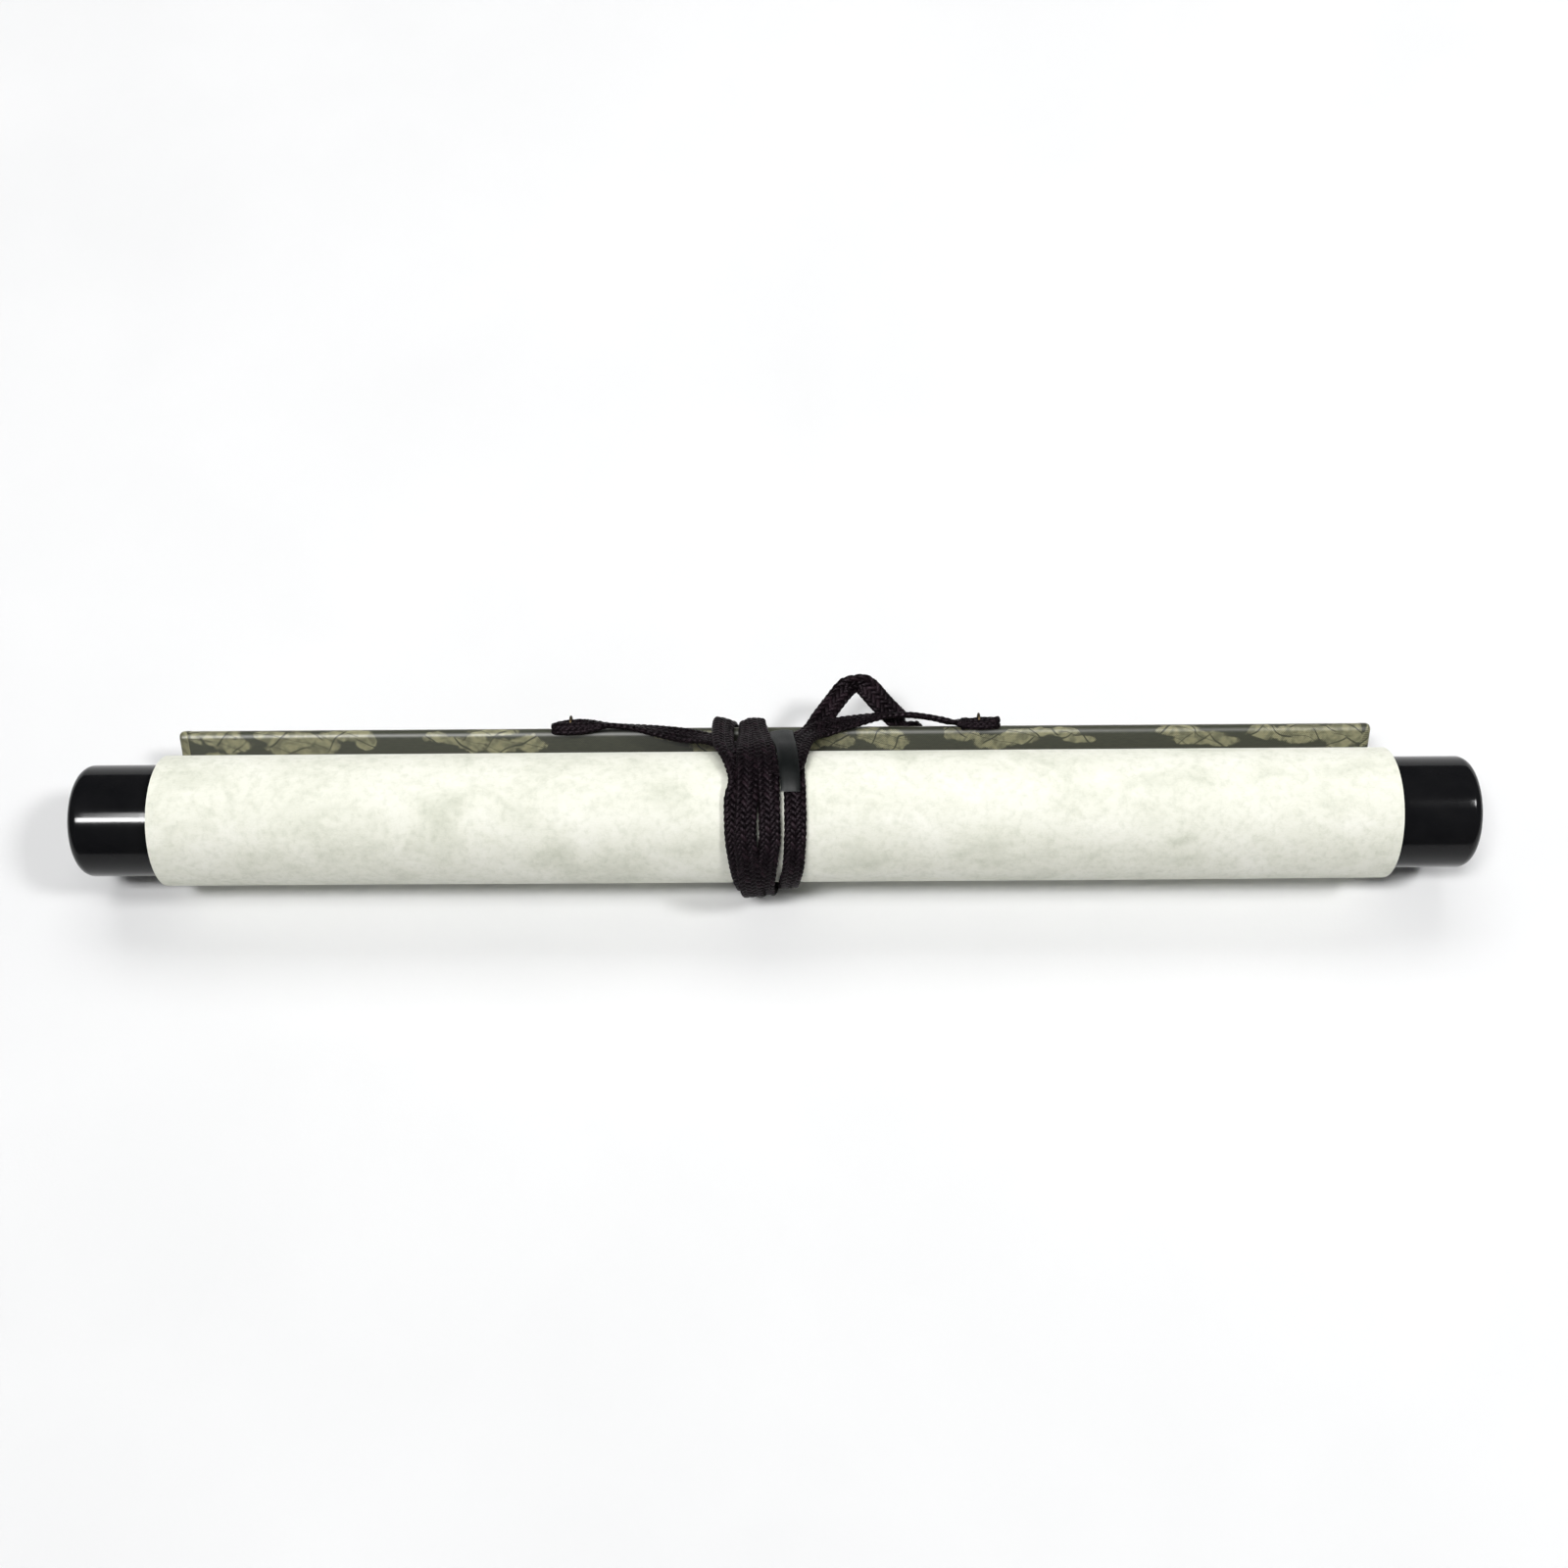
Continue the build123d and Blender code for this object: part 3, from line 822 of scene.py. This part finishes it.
def thread_rings(line, outward, half_w, half_t):
    """Rings of points round a thin thread, with the longer way of its section along the surface."""
    run = unit(np.gradient(line, axis=0))
    across = unit(np.cross(run, outward))
    outward = np.cross(across, run)
    rise = outward[:, None, :] * (half_t * np.sin(RING_ANGLE))[None, :, None]
    spread = across[:, None, :] * half_w[:, None, None] * np.cos(RING_ANGLE)[None, :, None]
    return line[:, None, :] + rise + spread


def braid(name, keys, seed):
    """A flat braid: YARNS yarns each way round a soft core, each passing over two and under two."""
    rows, s = resample(catmull(keys), ROW_STEP)
    point, n, w = ribbon_frame(rows)
    width, thick, curl = rows[:, 7], rows[:, 8], rows[:, 9]
    inner_w = width - 2 * YARN_HALF_T - CORE_SIDE_GAP
    inner_t = np.maximum(thick - 2 * YARN_HALF_T - CORE_FACE_GAP, CORE_LEAST_T)
    ends = np.clip(np.minimum(s, s[-1] - s) / END_TAPER, 0, 1)
    rng = np.random.default_rng(seed)
    grids, values = [], []
    for family in (1, -1):
        for k in range(YARNS):
            phase = 2 * k + family * (2 * YARNS * s / LAY_LENGTH)
            over = family * np.cos(math.pi / 2 * (phase - 0.5))
            off = WAVE * over * ends + rng.normal(0, LIFT_SPREAD)
            x, y, nx, ny = flat_oval(k / YARNS + family * s / LAY_LENGTH, inner_w, inner_t)
            bow = curl * (2 * x / np.maximum(inner_w, 0.5)) ** 2
            line = point + w * (x + nx * off)[:, None] + n * (y + ny * off + bow)[:, None]
            half_w = YARN_HALF_W * (1 + rng.normal(0, WIDTH_SPREAD)) * (0.55 + 0.45 * ends)
            grids.append(thread_rings(line, w * nx[:, None] + n * ny[:, None], half_w, YARN_HALF_T))
            # each yarn of the three cords has its own number, which sets its tone
            number = k + (20 if family < 0 else 0) + seed * 50
            values.append(yarn_values(s * FILAMENT_RATE, RING_ANGLE / (2 * math.pi), number))
    # the core that fills the braid
    share = np.linspace(0, 1, CORE_SIDES, endpoint=False)[None, :]
    x, y, _, _ = flat_oval(share, (inner_w - 0.1)[:, None], (inner_t - 0.05)[:, None])
    bow = curl[:, None] * (2 * x / np.maximum(inner_w, 0.5)[:, None]) ** 2
    core = point[:, None, :] + w[:, None, :] * x[..., None] + n[:, None, :] * (y + bow)[..., None]
    grids.append(core[::2])
    values.append(yarn_values(s[::2], np.zeros(CORE_SIDES), 44))
    faces, count = [], 0
    for grid in grids:
        faces += tube_faces(*grid.shape[:2], count, flip=True)
        count += grid.shape[0] * grid.shape[1]
    verts = np.concatenate([grid.reshape(-1, 3) for grid in grids])
    return make_mesh(name, verts, faces, {"yarn": np.concatenate(values)})


# The line that a cord's middle follows round the roll and the stave: a convex hull, then its
# distance from the roller's axis at each angle. Angle 0 faces the camera, 90 is up the picture.
CORD_REST = 0.1 + CORD_T / 2


def half_hull(ordered):
    """One side of the convex hull of points that are in order along an axis."""
    chain = []
    for p in ordered:
        while len(chain) > 1:
            a, b = chain[-2:]
            if (b[0] - a[0]) * (p[1] - a[1]) - (b[1] - a[1]) * (p[0] - a[0]) > 1e-9:
                break
            chain.pop()
        chain.append(p)
    return chain[:-1]


def hull_points():
    """The hull's corners, as (towards the camera, up the picture)."""
    around = np.radians(np.arange(0, 360, 0.5))
    roll = (ROLL_R + CORD_REST) * np.stack([np.cos(around), np.sin(around)], 1)
    section = np.stack(stave_outline(CLOTH + CORD_REST, steps=3), 1) @ np.stack([OUT_AXIS, ALONG_AXIS])
    points = np.vstack([roll, section @ np.stack([W_AXIS, U_AXIS], 1)])
    points = points[np.lexsort((points[:, 1], points[:, 0]))]
    return np.array(half_hull(points) + half_hull(points[::-1]))


HULL = hull_points()
hull_angles = np.linspace(-math.pi, math.pi, 720, endpoint=False)


def ray_radius(angle):
    """Distance from the axis to the hull along an angle."""
    direction = np.array([math.cos(angle), math.sin(angle)])
    best = 0.0
    for a, b in zip(HULL, np.roll(HULL, -1, axis=0)):
        edge = b - a
        det = edge[0] * direction[1] - direction[0] * edge[1]
        if abs(det) < 1e-12:
            continue
        r = (edge[0] * a[1] - a[0] * edge[1]) / det
        t = (direction[0] * a[1] - direction[1] * a[0]) / det
        if r > 0 and -1e-6 <= t <= 1 + 1e-6:
            best = max(best, r)
    return best


hull_radius = np.array([ray_radius(a) for a in hull_angles])


def picture(x, v, w):
    """Point at x along the roller, v up the picture and w towards the camera."""
    return x * X_AXIS + v * U_AXIS + w * W_AXIS


def on_roll(psi, x, lift):
    """World point and outward normal of a cord's middle at angle psi in degrees."""
    angle = (math.radians(psi) + math.pi) % (2 * math.pi) - math.pi
    step = math.radians(1.5)

    def at(a):
        r = np.interp(a, hull_angles, hull_radius, period=2 * math.pi)
        return np.array([r * math.cos(a), r * math.sin(a)])

    tangent = at(angle + step) - at(angle - step)
    tangent /= np.linalg.norm(tangent)
    normal = np.array([tangent[1], -tangent[0]])
    w, v = at(angle) + normal * lift
    return picture(x, v, w), picture(0.0, normal[1], normal[0])


def monotone(xs, ys, at):
    """Smooth interpolation without overshoot."""
    h = np.diff(xs)
    slope = np.diff(ys) / h
    before, after = slope[:-1], slope[1:]
    m = slope[[0, *range(len(slope))]]
    m[1:-1] = np.where(before * after > 0, 2 * before * after / (before + after + 1e-12), 0)
    k = np.clip(np.searchsorted(xs, at) - 1, 0, len(h) - 1)
    t = (at - xs[k]) / h[k]
    return (
        (1 + 2 * t) * (1 - t) ** 2 * ys[k]
        + t * (1 - t) ** 2 * h[k] * m[k]
        + t**2 * (3 - 2 * t) * ys[k + 1]
        + t**2 * (t - 1) * h[k] * m[k + 1]
    )


def roll_rows(keys, step=4.0):
    """Ribbon rows from keys (angle, x, lift, twist, width, curl), smoothed and kept on the roll."""
    keys = np.asarray(keys, float).T
    angles = np.arange(keys[0, 0], keys[0, -1] + step / 2, step)
    smooth = [monotone(keys[0], values, angles) for values in keys[1:]]
    rows = []
    for psi, x, lift, twist, width, curl in zip(angles, *smooth):
        point, normal = on_roll(psi, x, lift)
        rows.append([*point, *normal, twist, width, CORD_T, curl])
    return np.array(rows)


def turn_keys(turn, keys):
    """Keys of one turn, with the angle counted on from the first turn."""
    return [(psi + 360.0 * turn, *rest) for psi, *rest in keys]


# (angle, x, lift, twist, width, curl). Each turn starts underneath, where it touches the table,
# comes up the front, passes over the stave's free edge and goes down behind.
WRAP = (
    [(128, 174.2, 0.0, 0, 5.4, 0), (160, 175.0, 0.0, 0, 5.3, 0)]
    + turn_keys(1, [
        (-160, 175.3, 0.0, 0, 5.3, 0), (-128, 176.6, 0.1, 0, 5.4, 0),
        (-104, 178.2, 0.6, 4, 5.8, 0.1), (-84, 178.3, 0.5, 4, 5.8, 0.1),
        (-52, 177.2, 0.1, 0, 5.8, 0), (-10, 175.8, 0.0, 0, 5.9, 0),
        (12, 175.7, 0.1, -4, 5.9, -0.1), (30, 176.7, 0.5, -14, 5.6, -0.2),
        (50, 175.0, 1.0, -18, 5.5, -0.3), (70, 172.6, 1.5, -14, 5.7, -0.3),
        (88, 172.1, 1.5, -14, 5.9, -0.3), (103, 172.0, 1.2, -22, 6.0, -0.7),
        (114, 172.2, 1.1, -16, 5.9, -0.4), (124, 173.0, 1.2, -6, 5.7, 0),
        (138, 175.4, 1.5, 0, 5.5, 0), (160, 179.4, 0.7, 8, 5.3, 0),
        (180, 180.5, 0.1, 0, 5.3, 0),
    ])
    + turn_keys(2, [
        (-160, 180.7, 0.0, 0, 5.3, 0), (-130, 180.9, 0.5, 0, 5.3, 0),
        (-108, 180.6, 1.8, 0, 5.8, 0.1), (-92, 180.2, 2.3, -2, 6.0, 0.1),
        (-70, 179.4, 1.6, -6, 5.8, 0), (-45, 178.9, 1.0, -9, 5.8, 0),
        (-10, 178.2, 0.85, -10, 5.8, 0), (27, 178.8, 1.0, -12, 5.8, 0),
        (55, 178.8, 1.7, -8, 5.8, 0.1), (80, 178.7, 1.5, 2, 5.7, -0.3),
        (100, 178.9, 1.0, 3, 5.6, -0.9), (112, 178.9, 0.8, 2, 5.6, -0.8),
        (135, 181.3, 0.1, 0, 5.3, 0), (160, 184.6, 0.0, 0, 5.3, 0),
        (180, 185.9, 0.0, 0, 5.3, 0),
    ])
    + turn_keys(3, [
        (-160, 186.1, 0.0, 0, 5.3, 0), (-130, 185.4, 0.4, 0, 5.4, 0),
        (-108, 183.9, 1.2, 8, 5.8, 0.1), (-92, 183.0, 1.5, 10, 6.0, 0.1),
        (-70, 182.8, 0.9, 8, 5.8, 0), (-45, 183.5, 0.3, 2, 5.7, 0),
        (-12, 184.6, 0.1, 0, 5.6, 0), (27, 184.3, 0.4, -4, 5.6, 0),
        (50, 183.8, 1.4, -9, 5.6, 0), (70, 183.0, 1.9, -6, 5.5, -0.1),
        (88, 182.3, 1.3, -4, 5.5, -0.2), (102, 181.3, 1.0, -4, 5.3, -0.2),
        (120, 180.5, 1.2, 0, 5.2, -0.1), (135, 184.0, 1.4, 0, 5.3, 0),
        (150, 187.9, 1.5, 0, 5.3, 0), (165, 190.6, 1.0, 0, 5.3, 0),
        (182, 191.4, 0.0, 0, 5.3, 0),
    ])
    + turn_keys(4, [
        (-160, 191.5, 0.0, 0, 5.3, 0), (-128, 190.8, 0.0, 0, 5.2, 0),
        (-100, 189.3, 0.0, -6, 5.0, 0), (-70, 189.6, 0.0, -3, 5.4, 0),
        (-40, 190.8, 0.05, 0, 5.6, 0), (0, 191.3, 0.05, 0, 5.7, 0),
        (20, 191.2, 0.05, 0, 5.7, 0), (45, 190.9, 0.0, 0, 5.7, 0),
        (66, 190.7, 0.0, 0, 5.7, 0),
    ])
)
wrap = braid("wrapping_cord_braid", roll_rows(WRAP), seed=1)
finish_piece(wrap, "cord", "wrapping_cord")


def free_row(x, v, w, normal, width, thick=CORD_T, twist=0):
    """Ribbon row at a free point. normal is (x, up the picture, towards the camera)."""
    return [*picture(x, v, w), *picture(*normal), twist, width, thick, 0]


def roll_row(psi, x, lift, width, face):
    """Ribbon row on the roll. face is -1 where the cord's other side is out."""
    point, normal = on_roll(psi, x, lift)
    return [*point, *(face * normal), 0, width, CORD_T, 0]


def cord_rows(keys, face):
    """Ribbon rows from keys: those of four numbers lie on the roll, the others are free points."""
    return [roll_row(*key, face) if len(key) == 4 else free_row(*key) for key in keys]


HANG = [
    # left end: the cut end, back in front of the ring, over the fold, through the ring and away
    (139.2, 24.95, -5.5, (0.0, 0.30, 0.95), 1.6, 1.2),
    (136.8, 24.60, -5.4, (0.0, 0.30, 0.95), 2.3, 1.25),
    (133.6, 24.20, -5.4, (0.0, 0.25, 0.97), 3.0, 1.3),
    (130.6, 24.10, -5.6, (0.0, 0.20, 0.98), 3.3, 1.3),
    (127.8, 24.10, -6.0, (-0.15, 0.15, 0.98), 3.2, 1.25),
    (125.9, 24.20, -6.7, (-0.7, 0.1, 0.7), 3.0, 1.2),
    (125.3, 24.25, -7.6, (-1.0, 0.0, 0.0), 2.8, 1.15),
    (126.2, 24.70, -8.5, (-0.6, 0.0, -0.8), 2.5, 1.15),
    (128.2, 25.40, -8.8, (-0.1, 0.0, -1.0), 2.1, 1.2),
    (130.0, 25.75, -8.7, (0.0, 0.0, -1.0), 1.75, 1.3),
    (132.0, 25.65, -8.3, (0.0, -0.4, -0.9), 2.4, 1.3),
    (136.0, 25.20, -7.5, (0.0, -0.85, -0.5), 4.2, 1.35),
    (141.0, 24.95, -7.0, (0.0, -1.0, -0.05), 5.3),
    (147.0, 24.45, -6.6, (0.0, -1.0, -0.12), 5.7),
    (154.0, 23.35, -5.6, (0.05, -0.90, -0.42), 5.8),
    (161.5, 22.05, -3.6, (0.05, -0.78, -0.62), 5.8),
    (91, 168.5, 0.1, 5.8),
    (79, 173.5, 0.05, 5.7),
    (66, 178.0, 0.0, 5.6),
    (52, 182.5, 0.1, 5.6),
    (41, 186.3, 0.9, 5.0),
    (37, 189.0, 1.45, 4.6),
    (42, 191.2, 1.5, 4.8),
    (56, 192.2, 1.5, 5.3),
    (72, 193.0, 1.4, 5.8),
    (85, 194.4, 1.3, 6.0),
    (197.8, 23.1, -3.3, (0.1, -0.55, -0.84), 6.0),
    (202.8, 24.6, -5.3, (0.1, -0.72, -0.69), 5.9),
    (209.5, 26.1, -7.2, (0.05, -0.90, -0.42), 5.8),
    (215.5, 27.1, -8.3, (0.05, -0.98, -0.15), 5.8),
    (222.5, 27.4, -8.7, (0.0, -1.0, 0.0), 5.8),
    (229.0, 26.6, -8.5, (0.05, -1.0, 0.0), 5.5),
    (235.0, 25.3, -8.3, (0.05, -1.0, 0.0), 4.0, 1.3),
    (239.4, 25.3, -8.6, (0.0, -0.3, -1.0), 2.2, 1.3),
    (242.0, 25.65, -8.7, (0.0, 0.0, -1.0), 1.75, 1.3),
    (244.2, 25.55, -8.8, (0.1, 0.0, -1.0), 2.1, 1.2),
    (246.2, 25.30, -8.5, (0.6, 0.0, -0.8), 2.5, 1.15),
    (247.2, 25.25, -7.6, (1.0, 0.0, 0.0), 2.9, 1.15),
    (246.6, 24.95, -6.7, (0.7, 0.1, 0.7), 2.9, 1.2),
    (244.6, 24.70, -6.0, (0.15, 0.15, 0.98), 2.7, 1.25),
    (241.8, 24.45, -5.7, (0.0, 0.20, 0.98), 2.5, 1.25),
    (238.6, 24.60, -5.6, (0.0, 0.25, 0.97), 2.2, 1.2),
    (235.8, 24.90, -5.6, (0.0, 0.30, 0.95), 1.6, 1.2),
]
hang = braid("hanging_cord_braid", cord_rows(HANG, face=-1), seed=2)
finish_piece(hang, "cord", "hanging_cord")


# The loop: up from the wrap under the hanging cord, over, and down behind the stave
LOOP_FACE = (0.0, 0.41, 0.91)
LOOP = [
    (58, 190.7, 0.0, 5.6),
    (70, 190.6, 0.0, 5.6),
    (82, 191.2, 0.05, 5.7),
    (94, 193.2, 0.1, 5.7),
    (105, 196.3, 0.15, 5.8),
    (199.3, 27.2, -9.1, LOOP_FACE, 5.9),
    (202.4, 31.2, -10.9, LOOP_FACE, 5.9),
    (204.8, 34.2, -12.1, LOOP_FACE, 5.8, CORD_T, -10),
    (206.5, 35.7, -12.3, LOOP_FACE, 5.5, CORD_T, -40),
    (208.3, 36.2, -12.2, LOOP_FACE, 5.4, CORD_T, -60),
    (210.3, 36.1, -12.1, LOOP_FACE, 5.9, CORD_T, -42),
    (212.4, 34.5, -12.3, LOOP_FACE, 6.5, CORD_T, -12),
    (215.3, 31.2, -12.6, LOOP_FACE, 6.8),
    (218.6, 27.8, -12.9, LOOP_FACE, 6.8),
    (220.9, 25.8, -13.4, (0.0, 0.50, 0.87), 6.8),
    (120, 223.0, 0.0, 6.6),
    (128, 225.4, 0.0, 5.9),
    (135, 226.2, 0.1, 5.6),
    (142, 223.6, 0.1, 5.5),
    (148, 217.5, 0.1, 5.4),
    (152, 208.0, 0.0, 5.4),
    (152.5, 197.5, 0.0, 5.3),
    (151, 188.6, 0.0, 5.2),
]
loop = braid("cord_loop_braid", cord_rows(LOOP, face=1), seed=3)
finish_piece(loop, "cord", "cord_loop", body=None)
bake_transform(loop)


# Middle line of the joint tape: (angle, x, half width, lift)
TAPE = np.array([
    (19, 190.1, 2.50, 1.75), (28, 190.0, 2.60, 2.30), (40, 189.7, 2.70, 2.80), (60, 189.1, 2.85, 2.70),
    (80, 188.2, 3.15, 2.35), (98, 187.7, 3.25, 1.45),
])
TAPE_HALF_T = 0.27


def tape_point(t, u, side):
    """Point of the tape's upper or lower face: t runs along it and u, from -1 to 1, across it."""
    psi = TAPE[0, 0] + t * (TAPE[-1, 0] - TAPE[0, 0])
    centre, half_width, lift = (monotone(TAPE[:, 0], TAPE[:, k], np.array([psi]))[0] for k in (1, 2, 3))
    edge = math.sqrt(1 - abs(u) ** 6) * math.sqrt(max(0.0, 1 - abs(2 * t - 1) ** 20))
    swell = 0.10 * math.sin(7 * t + 2 * u) * (1 - u * u)
    slump = -0.8 * max(0.0, abs(u) - 0.55) ** 1.3 - 0.35 * max(0.0, -u) * t
    return on_roll(psi, centre + half_width * u, lift + slump + swell + side * TAPE_HALF_T * edge)[0]


def joint_tape(name):
    """Smooth tape laid over the meeting of the cords, following the roll, thin at its edges."""
    along, across = np.linspace(0, 1, 60), np.linspace(-1, 1, 26)
    faces = [np.array([[tape_point(t, u, side) for u in across] for t in along]) for side in (1, -1)]
    return closed_sheet(name, *faces, sharp=None)


finish_piece(joint_tape("cord_joint_tape"), "tape")


def flattened(wave):
    """A wave with broader crests, so that two of them draw a rounded box in place of a circle."""
    return np.sign(wave) * np.abs(wave) ** 0.6


def stitch(name, centre):
    """Binding thread round the doubled end of the cord: a few close turns."""
    turns, per_turn, pitch, radius = 4, 30, 0.24, 0.11
    half_deep, half_high = 2.2, 1.6
    t = np.linspace(0, turns, turns * per_turn)
    angle = 2 * math.pi * t
    advance = np.cross(-W_AXIS, U_AXIS) * ((t - turns / 2) * pitch)[:, None]
    around = -W_AXIS * (half_deep * flattened(np.cos(angle)))[:, None]
    around = around + U_AXIS * (half_high * flattened(np.sin(angle)))[:, None]
    path = centre + around + advance
    outward = unit(around)
    side = unit(np.cross(unit(np.gradient(path, axis=0)), outward))
    rings = (
        path[:, None, :]
        + outward[:, None, :] * (radius * np.sin(RING_ANGLE))[None, :, None]
        + side[:, None, :] * (radius * np.cos(RING_ANGLE))[None, :, None]
    )
    values = yarn_values(t * 8, np.zeros(len(RING_ANGLE)), 0)
    return make_mesh(name, rings.reshape(-1, 3), tube_faces(*rings.shape[:2]), {"yarn": values})


# How far the middle of a hanging ring stands above the stave's free edge
RING_UP = 2.15
ring_middle = CORNER_AT * OUT_AXIS + (FREE_EDGE + RING_UP) * ALONG_AXIS
for name, x in (("left_end_stitching", 135.6), ("right_end_stitching", 237.6)):
    thread = stitch(name, ring_middle + picture(x, -1.25, 1.75))
    finish_piece(thread, "cord")


# ---- floor, light and camera

floor_z = min(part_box(node)[0][2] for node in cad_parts)


def floor():
    """A wide flat table under the lowest CAD piece."""
    half_size, lines = 3000.0, 60
    line = np.linspace(-half_size, half_size, lines)
    x, y = np.meshgrid(line + MID_X, line, indexing="ij")
    verts = np.stack([x, y, np.full(x.shape, floor_z / MM)], -1).reshape(-1, 3)
    obj = make_mesh("floor", verts, grid_faces(lines, lines))
    obj.data.materials.append(MATERIALS["floor"])


floor()

ROLL_TILT = math.radians(-0.397)
CAMERA_X = 188.4
CAMERA_V = 8.65
CAMERA_W = 468.0


def aim(obj, position, direction, up):
    """Puts a lamp or camera at a position, looking in a direction."""
    back = -direction.normalized()
    right = up.cross(back).normalized()
    matrix = Matrix((right, back.cross(right), back)).transposed().to_4x4()
    matrix.translation = position
    obj.matrix_world = matrix


def vector(point):
    return Vector([float(c) for c in point])


camera_data = bpy.data.cameras.new("camera")
camera_data.lens = 39.8
camera_data.sensor_width = 36.0
camera_data.clip_start = 0.01
camera = bpy.data.objects.new("camera", camera_data)
bpy.context.scene.collection.objects.link(camera)
aim(
    camera,
    vector(picture(CAMERA_X, CAMERA_V, CAMERA_W) * MM),
    vector(-W_AXIS),
    Matrix.Rotation(ROLL_TILT, 3, vector(W_AXIS)) @ vector(U_AXIS),
)
bpy.context.scene.camera = camera


def area_light(name, x, v, w, size_x, size_v, power):
    """A rectangular light at a place in the picture's axes, turned towards the roll's middle."""
    data = bpy.data.lights.new(name, "AREA")
    data.shape = "RECTANGLE"
    data.size = size_x * MM
    data.size_y = size_v * MM
    data.energy = power
    obj = bpy.data.objects.new(name, data)
    bpy.context.scene.collection.objects.link(obj)
    position = vector(picture(x, v, w) * MM)
    aim(obj, position, vector(MID_X * X_AXIS * MM) - position, vector(U_AXIS))
    return obj


# Place (x, v, w) and size in millimetres, and power in watts
area_light("ceiling_key", -400, 400, 2000, 700, 320, 24.5)
area_light("right_lamp", 1162, 430, 1264, 280, 280, 12)
# One light that only shows as a glint in the lacquer, and one that only brightens the table
area_light("key_glint", -336, 92, 1990, 1100, 260, 90).visible_diffuse = False
area_light("far_fill", 100, 1750, 1050, 1500, 700, 16).visible_glossy = False

world = bpy.data.worlds.new("studio")
world.use_nodes = True
background = world.node_tree.nodes["Background"]
background.inputs["Color"].default_value = (0.97, 0.985, 1.0, 1)
# A dim surround for the light, shown as a pale backdrop to the camera
ray = world.node_tree.nodes.new("ShaderNodeLightPath")
backdrop = world.node_tree.nodes.new("ShaderNodeMapRange")
backdrop.inputs["To Min"].default_value = 0.08
backdrop.inputs["To Max"].default_value = 0.85
world.node_tree.links.new(ray.outputs["Is Camera Ray"], backdrop.inputs["Value"])
world.node_tree.links.new(backdrop.outputs[0], background.inputs["Strength"])
bpy.context.scene.world = world
bpy.context.scene.view_settings.view_transform = "Standard"
bpy.context.scene.view_settings.look = "None"
